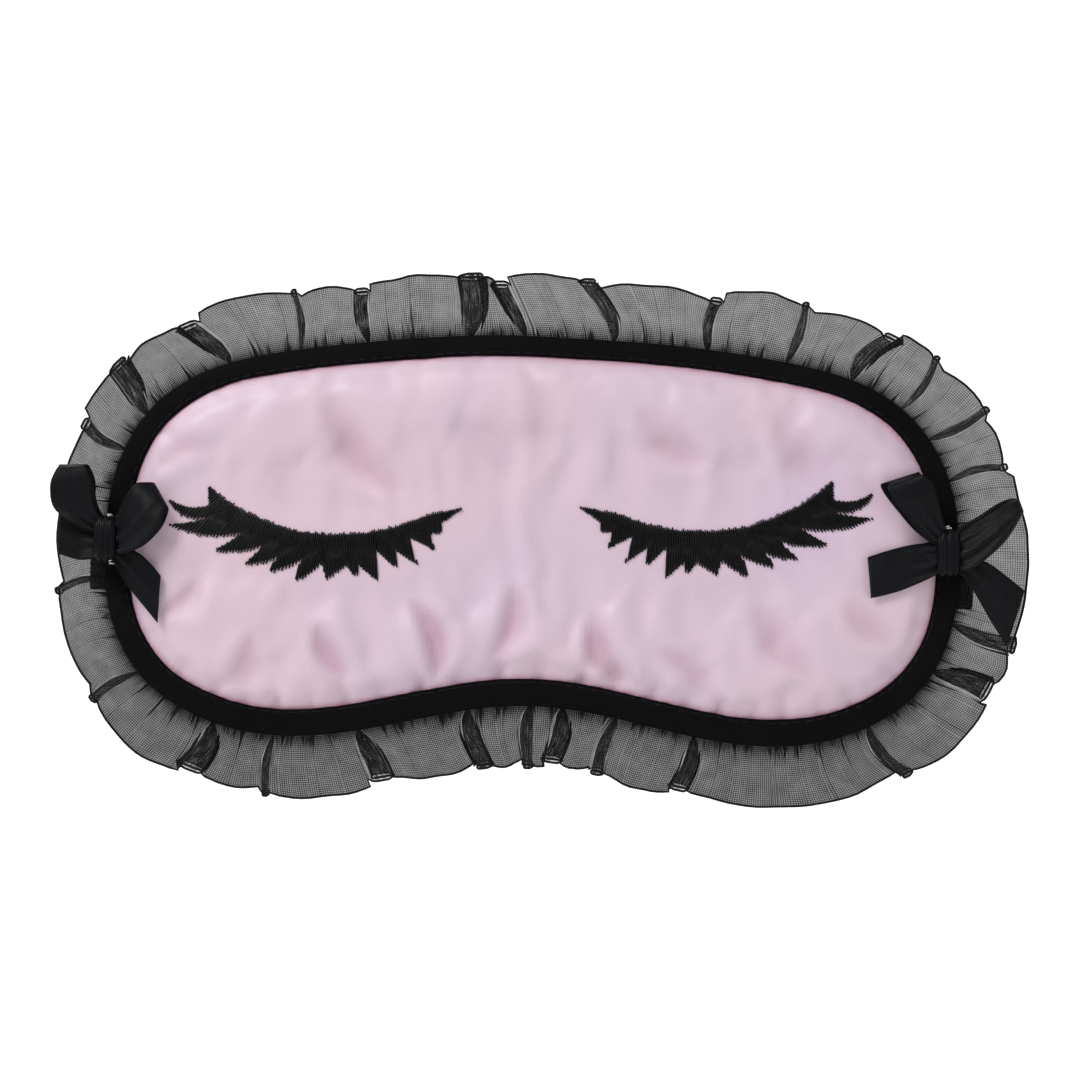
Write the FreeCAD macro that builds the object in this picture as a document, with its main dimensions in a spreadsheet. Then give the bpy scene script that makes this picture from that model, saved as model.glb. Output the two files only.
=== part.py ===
import FreeCAD, Part
import math
import os

# Padded sleep eye mask, standing upright as it is worn. Millimetres and degrees.
# X runs from side to side, Y from the front of the mask (-Y) to the face side (+Y), Z is up.
# The origin is the middle of the flat face-side panel, which lies in the plane y = 0.

SIZES = {
    # outline of the padded body, over its binding
    "half_width": 100.0,
    "top_rise": 47.7,
    "bottom_drop": 47.0,
    "nose_rise": 8.1,
    # layers of the pad, from the face side to the front
    "back_panel_cloth": 0.6,
    "lining_cloth": 0.5,
    "padding_edge": 1.5,
    "padding_rise": 3.3,
    "front_panel_cloth": 0.6,
    "dome_run": 13.0,
    # folded binding round the edge
    "binding_cloth": 0.5,
    "binding_top_leg": 5.0,
    "binding_bottom_leg": 6.5,
    "binding_back_leg": 5.0,
    "thread": 0.3,
    "topstitch_inset": 0.6,
    # gathered frill and its rolled hem
    "ruffle_reach": 13.2,
    "ruffle_depth": 2.0,
    "heading_width": 4.0,
    "heading_cloth": 0.4,
    "hem_width": 0.8,
    "hem_depth": 1.2,
    # closed-eye embroidery
    "embroidery_thread": 0.6,
    "eye_gap": 26.0,
    "lash_margin": 18.2,
    "eye_height": 7.6,
    "eye_shift": -2.6,
    "eye_tilt": 1.8,
    # ribbon bows
    "ribbon_width": 9.5,
    "ribbon_cloth": 0.5,
    "ribbon_gathered": 3.4,
    "loop_fullness": 3.0,
    "knot_radius": 3.6,
    "knot_overhang": 0.5,
    "bow_standoff": 0.4,
    "tack_radius": 0.8,
    # elastic head strap
    "strap_width": 10.0,
    "strap_cloth": 1.2,
    "strap_height": -9.0,
    "strap_overlap": 4.5,
    "strap_overhang": 3.6,
    "strap_bend": 3.0,
    "strap_corner": 70.0,
    "bar_tack_depth": 0.3,
    "bar_tack_width": 1.4,
    # gap between soft pieces that are free to move against each other
    "clearance": 0.3,
}

# The upper edge of the outline as (share of half_width, share of top_rise), from the middle
# outwards, its ends, and the lower edge as (share of half_width, share of bottom_drop,
# share of nose_rise), from the end inwards.
UPPER_EDGE = ((0.0, 1.0), (0.30, 0.973), (0.60, 0.893), (0.80, 0.766), (0.93, 0.52))
END_DROP = 0.064
LOWER_EDGE = ((0.93, 0.67, 0.0), (0.80, 0.893, 0.0), (0.62, 1.0, 0.0),
              (0.40, 1.0, 0.17), (0.20, 1.0, 0.70), (0.0, 1.0, 1.0))

# Half of the pair of closed eyes, in millimetres outwards and upwards from its inner corner, on
# a motif MOTIF_WIDTH wide: the lid line, ending in its spike, then the lashes from the outer
# corner inwards as (valley before the lash, tip of the lash).
MOTIF_WIDTH = 68.8
LID_LINE = ((0.0, 0.0), (8.5, -1.6), (16.6, -4.4), (23.2, -5.7), (31.5, -6.0), (39.4, -5.1),
            (45.7, -2.9), (51.7, -0.2), (56.6, 3.1), (59.5, 5.7))
LASHES = (((59.8, 0.1), (68.8, 2.7)), ((60.6, -2.0), (68.5, -3.5)),
          ((52.0, -5.8), (58.6, -9.6)), ((46.8, -8.6), (51.3, -12.8)),
          ((43.6, -11.5), (46.0, -14.9)), ((37.9, -12.0), (39.6, -17.0)),
          ((33.2, -12.9), (32.2, -16.4)), ((27.6, -13.2), (25.4, -16.1)),
          ((24.5, -13.4), (20.5, -16.8)), ((20.3, -10.0), (15.9, -14.2)),
          ((15.9, -10.0), (11.0, -13.2)), ((12.7, -7.0), (7.0, -9.9)),
          ((8.1, -5.9), (5.6, -6.1)), ((5.4, -3.6), (0.0, 0.0)))

# Each bow: how far in from the end of the body its knot is sewn, the knot's height, and its
# loops and tails as (name, direction from the knot in degrees, length, slant of the cut end).
BOWS = {
    "left_bow": {
        "side": -1, "inset": 1.4, "height": -2.0,
        "loops": (("upper_loop", 118.0, 17.5), ("inner_loop", 37.0, 16.5)),
        "tails": (("lower_tail", -51.0, 20.5, 4.0), ("outer_tail", 187.0, 9.5, 1.0)),
    },
    "right_bow": {
        "side": 1, "inset": 3.8, "height": -0.8,
        "loops": (("inner_loop", 121.0, 19.6), ("outer_loop", 35.0, 18.9)),
        "tails": (("inner_tail", 198.0, 18.6, 1.5), ("lower_tail", -42.0, 22.0, 5.0)),
    },
}

CURVE_POINTS = 32
# How an edge of the dome rises from the binding to its flat top: (share of the run, of the rise)
DOME_STEPS = ((0.0, 0.0), (0.28, 0.52), (0.62, 0.86), (1.0, 1.0))

doc = FreeCAD.newDocument("SleepMask")
sheet = doc.addObject("Spreadsheet::Sheet", "Sizes")
nodes = {}


def fill_sheet():
    for row, (alias, value) in enumerate(SIZES.items(), start=1):
        sheet.set(f"A{row}", alias)
        sheet.set(f"B{row}", str(value))
        sheet.setAlias(f"B{row}", alias)
    doc.recompute()


def size(alias):
    return float(sheet.get(alias))


def vector(x, y, z):
    return FreeCAD.Vector(x, y, z)


# ---- outline of the body and curves that run beside it ----

def body_outline():
    wide = size("half_width")
    top = size("top_rise")
    drop = size("bottom_drop")
    notch = size("nose_rise")
    half = [(share * wide, height * top) for share, height in UPPER_EDGE]
    half.append((wide, -END_DROP * top))
    half += [(share * wide, notch * up - depth * drop) for share, depth, up in LOWER_EDGE]
    other = [(-x, z) for x, z in reversed(half[1:-1])]
    curve = Part.BSplineCurve()
    curve.interpolate(Points=[vector(x, 0, z) for x, z in half + other], PeriodicFlag=True)
    return curve


def beside(curve, inset, y):
    """A closed curve at the depth y that runs inset(upness) inside curve. upness goes from 1
    where the edge faces up to 0 where it faces down."""
    first, last = curve.FirstParameter, curve.LastParameter
    points = []
    for k in range(CURVE_POINTS):
        u = first + (last - first) * k / CURVE_POINTS
        tangent = curve.tangent(u)[0]
        outward = vector(-tangent.z, 0, tangent.x)
        point = curve.value(u)
        points.append(point - outward * inset((outward.z + 1) / 2) + vector(0, y, 0))
    ring = Part.BSplineCurve()
    ring.interpolate(Points=points, PeriodicFlag=True)
    return ring


def wire(name, curve):
    feature = doc.addObject("Part::Feature", name)
    feature.Shape = Part.Wire([curve.toShape()])
    return feature


def even(distance):
    return lambda upness: distance


def front_leg(extra=0.0):
    top = size("binding_top_leg") + extra
    bottom = size("binding_bottom_leg") + extra
    return lambda upness: bottom + (top - bottom) * upness


# ---- short ways to make document objects ----

def slab(name, curve, inset, back, thickness):
    """A plate with the outline of curve moved inwards by inset. Its back face is at the depth
    back and it reaches forwards by the expression thickness."""
    plate = doc.addObject("Part::Extrusion", name)
    plate.Base = wire(name + "_outline", beside(curve, inset, back))
    plate.DirMode = "Custom"
    plate.Dir = vector(0, -1, 0)
    plate.setExpression("LengthFwd", thickness)
    plate.Solid = True
    return plate


def cut(name, base, *tools):
    for number, tool in enumerate(tools, start=1):
        last = number == len(tools)
        result = doc.addObject("Part::Cut", name if last else f"{name}_cut_{number}")
        result.Base = base
        result.Tool = tool
        base = result
    return base


def fuse(name, *pieces):
    joined = doc.addObject("Part::MultiFuse", name)
    joined.Shapes = list(pieces)
    return joined


def keep(node, feature):
    feature.Label = node
    nodes[node] = feature
    return feature


# ---- depths of the layers, counted from the face side ----

def depths():
    at = {"back": -size("binding_cloth")}
    at["lining"] = at["back"] - size("back_panel_cloth")
    at["padding"] = at["lining"] - size("lining_cloth")
    at["front"] = at["padding"] - size("padding_edge")
    at["leg"] = at["front"] - size("front_panel_cloth")
    at["rim"] = at["leg"] - size("binding_cloth")
    at["crown"] = at["leg"] - size("padding_rise")
    return at


# ---- the padded body ----

def dome(name, curve, base, extra):
    """A closed block that rises from the inner edge of the binding's front leg to a flat top."""
    sections = []
    for number, (run, rise) in enumerate(DOME_STEPS, start=1):
        leg = front_leg(extra)
        edge = size("dome_run") + extra

        def inset(upness, leg=leg, run=run):
            return leg(upness) + (edge - leg(upness)) * run

        depth = base - size("padding_rise") * rise
        sections.append(wire(f"{name}_section_{number}", beside(curve, inset, depth)))
    block = doc.addObject("Part::Loft", name)
    block.Sections = sections
    block.Solid = True
    return block


def back_panel(curve, at):
    inside = even(size("binding_cloth"))
    under = slab("back_panel_edge", curve, inside, at["back"], "Sizes.back_panel_cloth")
    field_inset = even(size("binding_back_leg") + size("clearance"))
    field = slab("back_panel_field", curve, field_inset, 0.0, "Sizes.binding_cloth")
    keep("back_panel", fuse("BackPanel", under, field))


def blackout_lining(curve, at):
    inside = even(size("binding_cloth"))
    keep("blackout_lining",
         slab("BlackoutLining", curve, inside, at["lining"], "Sizes.lining_cloth"))


def padding_and_front(curve, at):
    inside = even(size("binding_cloth"))
    edge = slab("padding_edge", curve, inside, at["padding"], "Sizes.padding_edge")
    filling = dome("padding_dome", curve, at["front"], size("front_panel_cloth"))
    keep("padding", fuse("Padding", edge, filling))
    cloth = slab("front_panel_edge", curve, inside, at["front"], "Sizes.front_panel_cloth")
    cover = dome("front_panel_dome", curve, at["leg"], size("clearance"))
    keep("front_panel", cut("FrontPanel", fuse("front_panel_full", cloth, cover), filling))


def edge_binding(curve, at):
    whole = slab("binding_full", curve, even(0.0), 0.0,
                 "Sizes.binding_cloth * 2 + Sizes.back_panel_cloth + Sizes.lining_cloth"
                 " + Sizes.padding_edge + Sizes.front_panel_cloth")
    channel = slab("binding_channel", curve, even(size("binding_cloth")), at["back"],
                   "Sizes.back_panel_cloth + Sizes.lining_cloth + Sizes.padding_edge"
                   " + Sizes.front_panel_cloth")
    back_window = slab("binding_back_window", curve, even(size("binding_back_leg")), 0.0,
                       "Sizes.binding_cloth")
    front_window = slab("binding_front_window", curve, front_leg(), at["leg"],
                        "Sizes.binding_cloth")
    keep("edge_binding", cut("EdgeBinding", whole, channel, back_window, front_window))


def thread_ring(node, curve, outer, inner, back):
    outside = slab(node + "_outside", curve, outer, back, "Sizes.thread")
    inside = slab(node + "_inside", curve, inner, back, "Sizes.thread")
    keep(node, cut(node + "_ring", outside, inside))


def binding_topstitch(curve, at):
    seam = -size("topstitch_inset")
    thread_ring("binding_topstitch", curve, front_leg(seam - size("thread")),
                front_leg(seam), at["rim"])


# ---- the frill ----

def ruffle(curve):
    heading = size("heading_cloth")
    sheet_of_cloth = slab("ruffle_full", curve, even(-size("ruffle_reach")), heading,
                          "Sizes.ruffle_depth")
    body_space = slab("ruffle_body_space", curve, even(0.0), 0.0, "Sizes.ruffle_depth")
    window = slab("ruffle_window", curve, even(size("heading_width")), heading,
                  "Sizes.heading_cloth")
    keep("ruffle", cut("Ruffle", sheet_of_cloth, body_space, window))
    hem_back = heading - (size("ruffle_depth") - size("hem_depth")) / 2
    rim = even(-size("ruffle_reach") - size("hem_width"))
    outside = slab("ruffle_hem_outside", curve, rim, hem_back, "Sizes.hem_depth")
    inside = slab("ruffle_hem_inside", curve, even(-size("ruffle_reach")), hem_back,
                  "Sizes.hem_depth")
    keep("ruffle_hem", cut("RuffleHem", outside, inside))
    seam = size("heading_width") / 2
    thread_ring("ruffle_gather_stitch", curve, even(seam - size("thread")), even(seam),
                heading + size("thread"))


# ---- flat shapes drawn in a sketch and padded towards the front ----

def padded_sketch(name, corners, depth, thickness):
    body = doc.addObject("PartDesign::Body", name)
    front = [f for f in body.Origin.OriginFeatures if f.Role == "XZ_Plane"][0]
    sketch = body.newObject("Sketcher::SketchObject", name + "_sketch")
    sketch.AttachmentSupport = [(front, "")]
    sketch.MapMode = "FlatFace"
    for (x0, z0), (x1, z1) in zip(corners, corners[1:] + corners[:1]):
        sketch.addGeometry(Part.LineSegment(vector(x0, z0, 0), vector(x1, z1, 0)), False)
    doc.recompute()
    pad = body.newObject("PartDesign::Pad", name + "_pad")
    pad.Profile = sketch
    pad.setExpression("Length", thickness)
    body.Tip = pad
    body.Placement.Base = vector(0, depth, 0)
    return body


def eye_embroidery(node, side, at):
    gap = size("eye_gap") / 2
    scale = (size("half_width") - size("lash_margin") - gap) / MOTIF_WIDTH
    tilt = math.radians(size("eye_tilt"))
    motif = list(LID_LINE) + [point for lash in LASHES for point in lash][:-1]
    corners = []
    for out, up in motif:
        x = side * (gap + out * scale)
        z = size("eye_height") + up * scale
        corners.append((x * math.cos(tilt) - z * math.sin(tilt) + size("eye_shift"),
                        x * math.sin(tilt) + z * math.cos(tilt)))
    if side < 0:
        corners.reverse()
    keep(node, padded_sketch("Embroidery" + ("Left" if side < 0 else "Right"), corners,
                             at["crown"], "Sizes.embroidery_thread"))


# ---- the bows ----

def in_direction(centre, angle, along, across):
    """A point along and across an arm that leaves the centre at the angle."""
    turn = math.radians(angle)
    return (centre[0] + along * math.cos(turn) - across * math.sin(turn),
            centre[1] + along * math.sin(turn) + across * math.cos(turn))


def arm_outline(centre, angle, length, slant):
    """The flat outline of a ribbon end, gathered at the knot and full width further out."""
    root = size("knot_radius") + size("clearance")
    full = root + size("ribbon_width") / 2
    narrow = size("ribbon_gathered") / 2
    wide = size("ribbon_width") / 2
    shape = ((root, -narrow), (full, -wide), (length + slant / 2, -wide),
             (length - slant / 2, wide), (full, wide), (root, narrow))
    return [in_direction(centre, angle, along, across) for along, across in shape]


def bow_loop(node, centre, angle, length, front):
    """A hollow loop of ribbon: its rounded section, cut to the tapering outline of the arm."""
    root = size("knot_radius") + size("clearance")
    fullness = size("loop_fullness")
    cloth = size("ribbon_cloth")

    def section(radius):
        low = root + fullness / 2
        high = length - fullness / 2
        arcs = (Part.Arc(vector(low, -radius, 0), vector(low - radius, 0, 0),
                         vector(low, radius, 0)),
                Part.LineSegment(vector(low, radius, 0), vector(high, radius, 0)),
                Part.Arc(vector(high, radius, 0), vector(high + radius, 0, 0),
                         vector(high, -radius, 0)),
                Part.LineSegment(vector(high, -radius, 0), vector(low, -radius, 0)))
        return Part.Face(Part.Wire([edge.toShape() for edge in arcs]))

    ring = section(fullness / 2).cut(section(fullness / 2 - cloth))
    band = ring.extrude(vector(0, 0, size("ribbon_width")))
    band.translate(vector(0, 0, -size("ribbon_width") / 2))
    band.rotate(vector(0, 0, 0), vector(0, 1, 0), -angle)
    band.translate(vector(centre[0], front - fullness / 2, centre[1]))
    corners = [vector(x, front, z) for x, z in arm_outline(centre, angle, length, 0.0)]
    plan = Part.Face(Part.makePolygon(corners + corners[:1])).extrude(vector(0, -fullness, 0))
    loop = doc.addObject("Part::Feature", node + "_shape")
    loop.Shape = band.common(plan).Solids[0]
    keep(node, loop)


def bow(name, layout, at):
    side = layout["side"]
    centre = (side * (size("half_width") - layout["inset"]), layout["height"])
    behind = at["crown"] - size("embroidery_thread") - size("bow_standoff")
    for arm, angle, length, slant in layout["tails"]:
        outline = arm_outline(centre, angle, length, slant)
        keep(f"{name}_{arm}", padded_sketch(f"{name}_{arm}_body", outline, behind,
                                            "Sizes.ribbon_cloth"))
    loops_back = behind - size("ribbon_cloth") - size("clearance")
    for arm, angle, length in layout["loops"]:
        bow_loop(f"{name}_{arm}", centre, angle, length, loops_back)
    knot = doc.addObject("Part::Cylinder", name + "_knot_shape")
    knot.setExpression("Radius", "Sizes.knot_radius")
    knot.setExpression("Height", "Sizes.ribbon_cloth + Sizes.clearance + Sizes.loop_fullness"
                                 " + Sizes.knot_overhang")
    knot.Placement = FreeCAD.Placement(vector(centre[0], behind, centre[1]),
                                       FreeCAD.Rotation(vector(1, 0, 0), 90))
    keep(name + "_knot", knot)
    tack = doc.addObject("Part::Cylinder", name + "_tack_shape")
    tack.setExpression("Radius", "Sizes.tack_radius")
    tack.setExpression("Height", "Sizes.padding_rise - Sizes.binding_cloth"
                                 " + Sizes.embroidery_thread + Sizes.bow_standoff")
    tack.Placement = FreeCAD.Placement(vector(centre[0], at["rim"], centre[1]),
                                       FreeCAD.Rotation(vector(1, 0, 0), 90))
    keep(name + "_tack_stitch", tack)


# ---- the elastic head strap ----

def band_along(name, edges, side):
    """A flat band that stands on edge along the path of edges, drawn for the right side."""
    path = Part.Wire([edge.toShape() for edge in edges])
    section = path.makeOffset2D(size("strap_cloth") / 2, fill=False, openResult=True)
    other = path.makeOffset2D(-size("strap_cloth") / 2, fill=False, openResult=True)
    ends = []
    for end in (0, -1):
        a = section.OrderedVertexes[end].Point
        near = min(other.OrderedVertexes, key=lambda vertex: (vertex.Point - a).Length)
        ends.append(Part.LineSegment(a, near.Point).toShape())
    outline = Part.Wire(Part.__sortEdges__(section.Edges + other.Edges + ends))
    plan = doc.addObject("Part::Feature", name + "_plan")
    plan.Shape = outline if side > 0 else outline.mirror(vector(0, 0, 0), vector(1, 0, 0))
    band = doc.addObject("Part::Extrusion", name + "_band")
    band.Base = plan
    band.DirMode = "Custom"
    band.Dir = vector(0, 0, 1)
    band.setExpression("LengthFwd", "Sizes.strap_width")
    band.Solid = True
    band.setExpression("Placement.Base.z", "Sizes.strap_height - Sizes.strap_width / 2")
    return band


def strap():
    half_cloth = size("strap_cloth") / 2
    tab_y = size("heading_cloth") + size("thread") + size("clearance") + half_cloth
    tab_x = size("half_width") - size("strap_overlap") - size("clearance")
    bend = size("strap_bend")
    outer_x = size("half_width") + size("strap_overhang")
    start_y = tab_y + bend
    corner = size("strap_corner")
    centre_x = outer_x - corner
    slant = math.radians(45)
    middle = math.radians(22.5)

    def on_corner(angle):
        return vector(centre_x + corner * math.cos(angle), start_y + corner * math.sin(angle), 0)

    tuck = bend * math.sin(slant)
    tab = (Part.LineSegment(vector(tab_x, tab_y, 0), vector(outer_x - bend, tab_y, 0)),
           Part.Arc(vector(outer_x - bend, tab_y, 0),
                    vector(outer_x - bend + tuck, start_y - tuck, 0),
                    vector(outer_x, start_y, 0)))
    side_run = (Part.Arc(on_corner(0.0), on_corner(middle), on_corner(slant)),)
    for side, hand in ((-1, "left"), (1, "right")):
        keep(f"strap_{hand}_end", band_along(f"strap_{hand}_end", tab, side))
        keep(f"strap_{hand}_side", band_along(f"strap_{hand}_side", side_run, side))
    back_y = start_y + corner

    def mirrored(point):
        return vector(-point.x, point.y, point.z)

    round_the_back = (
        Part.Arc(on_corner(slant), on_corner(slant + middle), on_corner(2 * slant)),
        Part.LineSegment(vector(centre_x, back_y, 0), vector(-centre_x, back_y, 0)),
        Part.Arc(mirrored(on_corner(2 * slant)), mirrored(on_corner(slant + middle)),
                 mirrored(on_corner(slant))))
    keep("strap_back", band_along("strap_back", round_the_back, 1))
    length = sum(edge.length() for edge in tab + side_run) * 2
    length += sum(edge.length() for edge in round_the_back)
    print(f"head strap: {length:.0f} mm of elastic, pivot y {start_y:.2f}, back y {back_y:.2f}")
    for side, hand in ((-1, "left"), (1, "right")):
        bar = doc.addObject("Part::Box", f"strap_{hand}_bar_tack_shape")
        bar.setExpression("Length", "Sizes.bar_tack_width")
        bar.setExpression("Width", "Sizes.bar_tack_depth")
        bar.setExpression("Height", "Sizes.strap_width - Sizes.thread * 2")
        bar.Placement.Base = vector(side * (tab_x + size("bar_tack_width") * 1.5)
                                    - size("bar_tack_width") / 2,
                                    tab_y + half_cloth,
                                    size("strap_height") - size("strap_width") / 2
                                    + size("thread"))
        keep(f"strap_{hand}_bar_tack", bar)


def check_and_write():
    doc.recompute()
    for feature in doc.Objects:
        if "Invalid" in feature.State or "Error" in feature.State:
            raise RuntimeError(f"{feature.Name} failed: {feature.State}")
    os.makedirs("parts", exist_ok=True)
    for node, feature in nodes.items():
        shape = feature.Shape
        if shape.isNull() or not shape.isValid():
            raise RuntimeError(f"{node} has no valid shape")
        shape.exportStep(f"parts/{node}.step")
        box = shape.BoundBox
        print(f"{node}: {len(shape.Solids)} solid, {shape.Volume:.1f} mm3,"
              f" x {box.XMin:.1f}..{box.XMax:.1f}, y {box.YMin:.2f}..{box.YMax:.2f},"
              f" z {box.ZMin:.1f}..{box.ZMax:.1f}")


def main():
    fill_sheet()
    curve = body_outline()
    at = depths()
    back_panel(curve, at)
    blackout_lining(curve, at)
    padding_and_front(curve, at)
    edge_binding(curve, at)
    binding_topstitch(curve, at)
    ruffle(curve)
    eye_embroidery("left_eye_embroidery", -1, at)
    eye_embroidery("right_eye_embroidery", 1, at)
    for name, layout in BOWS.items():
        bow(name, layout, at)
    strap()
    check_and_write()


main()
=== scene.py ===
# %% [markdown]
# # A padded sleep mask with a gathered frill and ribbon bows
#
# The mask is a stitched object, so this lesson builds it in the order a sewing room does: the
# padded satin body, the embroidery, the folded binding round its edge, the gathered organza
# frill, the ribbon bows and the elastic strap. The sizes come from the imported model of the
# mask, which is loaded first and gives every piece its place.

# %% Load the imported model
import math
import random
import bmesh
import bpy
import numpy as np
from mathutils import Matrix, Vector, noise
from mathutils.bvhtree import BVHTree


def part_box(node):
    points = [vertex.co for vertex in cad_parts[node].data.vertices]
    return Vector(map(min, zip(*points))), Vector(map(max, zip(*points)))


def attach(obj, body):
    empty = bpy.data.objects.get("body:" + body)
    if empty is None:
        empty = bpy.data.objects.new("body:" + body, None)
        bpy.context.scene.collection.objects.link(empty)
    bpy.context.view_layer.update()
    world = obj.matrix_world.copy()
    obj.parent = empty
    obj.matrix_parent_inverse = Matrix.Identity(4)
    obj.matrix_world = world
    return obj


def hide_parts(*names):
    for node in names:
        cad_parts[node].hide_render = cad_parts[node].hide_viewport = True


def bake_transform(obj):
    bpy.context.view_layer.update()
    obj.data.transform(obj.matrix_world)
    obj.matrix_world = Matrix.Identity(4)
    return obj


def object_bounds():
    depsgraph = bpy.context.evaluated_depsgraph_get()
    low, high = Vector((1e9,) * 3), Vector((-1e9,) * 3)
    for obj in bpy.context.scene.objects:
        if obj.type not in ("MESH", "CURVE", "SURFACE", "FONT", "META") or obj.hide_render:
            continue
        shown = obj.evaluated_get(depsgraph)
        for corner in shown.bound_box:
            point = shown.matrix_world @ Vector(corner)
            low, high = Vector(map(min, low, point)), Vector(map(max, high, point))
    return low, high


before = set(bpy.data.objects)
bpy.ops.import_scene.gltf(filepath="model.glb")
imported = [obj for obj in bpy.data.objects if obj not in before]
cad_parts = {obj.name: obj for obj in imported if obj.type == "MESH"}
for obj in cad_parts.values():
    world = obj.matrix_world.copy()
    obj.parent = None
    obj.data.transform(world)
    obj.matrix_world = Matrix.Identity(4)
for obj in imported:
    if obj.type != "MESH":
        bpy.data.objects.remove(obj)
cad_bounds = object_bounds()
MM = 0.001
TAU = 2 * math.pi

# %% [markdown]
# ## The edge of the body
#
# Nearly every seam of the mask runs beside one curve: the edge of the body. The flat lining
# gives it, because a flat cut piece has points only on its own outline. The points are sorted
# round the middle, spaced evenly and smoothed a little. Places on the edge are then written as
# a share of the way round, 0 at the top of the middle and growing towards +X, with a distance
# outwards and a depth.

# %% Read the edge from the lining
EDGE_STEPS = 1440
binding_low, binding_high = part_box("edge_binding")
turn_in = binding_high.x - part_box("blackout_lining")[1].x


def spaced_loop(points, count):
    """Closed loop of points, starting where x is 0, with count even steps."""
    closed = np.vstack([points, points[:1]])
    run = np.r_[0, np.cumsum(np.linalg.norm(np.diff(closed, axis=0), axis=1))]
    at = np.arange(count) * run[-1] / count
    return np.column_stack([np.interp(at, run, closed[:, k]) for k in (0, 1)]), run[-1]


def smoothed(values, reach):
    """Closed row of values, averaged over about reach neighbours on either side."""
    kernel = np.exp(-0.5 * (np.arange(-3 * reach, 3 * reach + 1) / reach) ** 2)
    kernel /= kernel.sum()
    padded_row = np.concatenate([values[-3 * reach:], values, values[:3 * reach]])
    return np.convolve(padded_row, kernel, mode="valid")


def read_edge():
    flat = np.array([(v.co.x, v.co.z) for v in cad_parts["blackout_lining"].data.vertices])
    round_it = np.arctan2(flat[:, 0], flat[:, 1]) % TAU
    flat = flat[np.argsort(round_it)]
    keep = np.r_[True, np.linalg.norm(np.diff(flat, axis=0), axis=1) > 0.05 * MM]
    flat = flat[keep]
    top = (flat[0] * -flat[-1][0] + flat[-1] * flat[0][0]) / (flat[0][0] - flat[-1][0])
    flat = np.vstack([top, flat])
    loop, length = spaced_loop(flat, EDGE_STEPS)
    loop = np.column_stack([smoothed(loop[:, k], 9) for k in (0, 1)])
    along = np.roll(loop, -1, axis=0) - np.roll(loop, 1, axis=0)
    along /= np.linalg.norm(along, axis=1)[:, None]
    outward = np.column_stack([-along[:, 1], along[:, 0]])
    return loop + outward * turn_in, outward, length


edge_loop, edge_out, edge_length = read_edge()


def on_edge(share, out=0.0, depth=0.0):
    """Points beside the edge: share of the way round, distance outwards, and depth in y."""
    share = np.asarray(share, float)
    at = (share % 1.0) * EDGE_STEPS
    low = np.floor(at).astype(int) % EDGE_STEPS
    part = (at - np.floor(at))[..., None]
    high = (low + 1) % EDGE_STEPS
    flat = edge_loop[low] * (1 - part) + edge_loop[high] * part
    away = edge_out[low] * (1 - part) + edge_out[high] * part
    flat = flat + away * np.broadcast_to(out, share.shape)[..., None]
    return np.stack([flat[..., 0], np.broadcast_to(depth, share.shape), flat[..., 1]], axis=-1)


def facing_up(share):
    """1 where the edge faces up, 0 where it faces down."""
    return (edge_out[(np.asarray(share) % 1.0 * EDGE_STEPS).astype(int) % EDGE_STEPS, 1] + 1) / 2


print(f"the edge is {edge_length * 1000:.0f} mm round")

# %% [markdown]
# ## Small helpers
#
# A grid of points joined by four-sided faces makes most cloth pieces. Each point also gets a
# place in a UV map, in metres along the cloth, so that a weave can follow the surface.

# %% Mesh helpers
def new_object(name, mesh, material):
    """A piece in the scene, made of this mesh and this material."""
    piece = bpy.data.objects.new(name, mesh)
    bpy.context.scene.collection.objects.link(piece)
    if material:
        mesh.materials.clear()
        mesh.materials.append(material)
    return piece


def grid_mesh(name, points, uv=None, loops_round=False, loops_across=False):
    """A mesh from a grid of points, shape (along, across, 3). A map that goes round the loop
    carries on past its last row, so that the weave doesn't run back over one row of faces."""
    rows, columns = points.shape[:2]
    row = np.arange(rows if loops_round else rows - 1)
    column = np.arange(columns if loops_across else columns - 1)
    r, c = np.meshgrid(row, column, indexing="ij")
    r1, c1 = (r + 1) % rows, (c + 1) % columns
    faces = np.stack([r * columns + c, r * columns + c1, r1 * columns + c1, r1 * columns + c], -1)
    faces = faces.reshape(-1, 4)
    mesh = bpy.data.meshes.new(name)
    mesh.from_pydata(points.reshape(-1, 3).tolist(), [], faces.tolist())
    mesh.polygons.foreach_set("use_smooth", [True] * len(mesh.polygons))
    if uv is not None:
        layer = mesh.uv_layers.new(name="cloth")
        corners = np.stack([uv[r, c], uv[r, c1], uv[r1, c1], uv[r1, c]], axis=2)
        if loops_round:
            step = np.diff(uv[:, :, 0], axis=0).mean()
            corners[r == rows - 1, 2:, 0] = uv[-1, 0, 0] + step
        layer.data.foreach_set("uv", corners.reshape(-1).astype(np.float32))
    mesh.update()
    return mesh


def finished(piece):
    """The piece with its modifiers made part of its mesh."""
    depsgraph = bpy.context.evaluated_depsgraph_get()
    mesh = bpy.data.meshes.new_from_object(piece.evaluated_get(depsgraph))
    old = piece.data
    piece.modifiers.clear()
    piece.data = mesh
    if old.users == 0:
        bpy.data.meshes.remove(old)
    return piece


def with_thickness(piece, thickness, offset):
    """A sheet given a wall: inwards where the offset is -1, to both sides where it is 0."""
    wall = piece.modifiers.new("wall", "SOLIDIFY")
    wall.thickness = thickness
    wall.offset = offset
    wall.use_even_offset = False
    return finished(piece)


def capped(mesh):
    """The open ends of a swept tube closed, with every face looking outwards."""
    work = bmesh.new()
    work.from_mesh(mesh)
    bmesh.ops.holes_fill(work, edges=[edge for edge in work.edges if edge.is_boundary], sides=0)
    bmesh.ops.recalc_face_normals(work, faces=work.faces[:])
    work.to_mesh(mesh)
    work.free()
    return mesh


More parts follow.
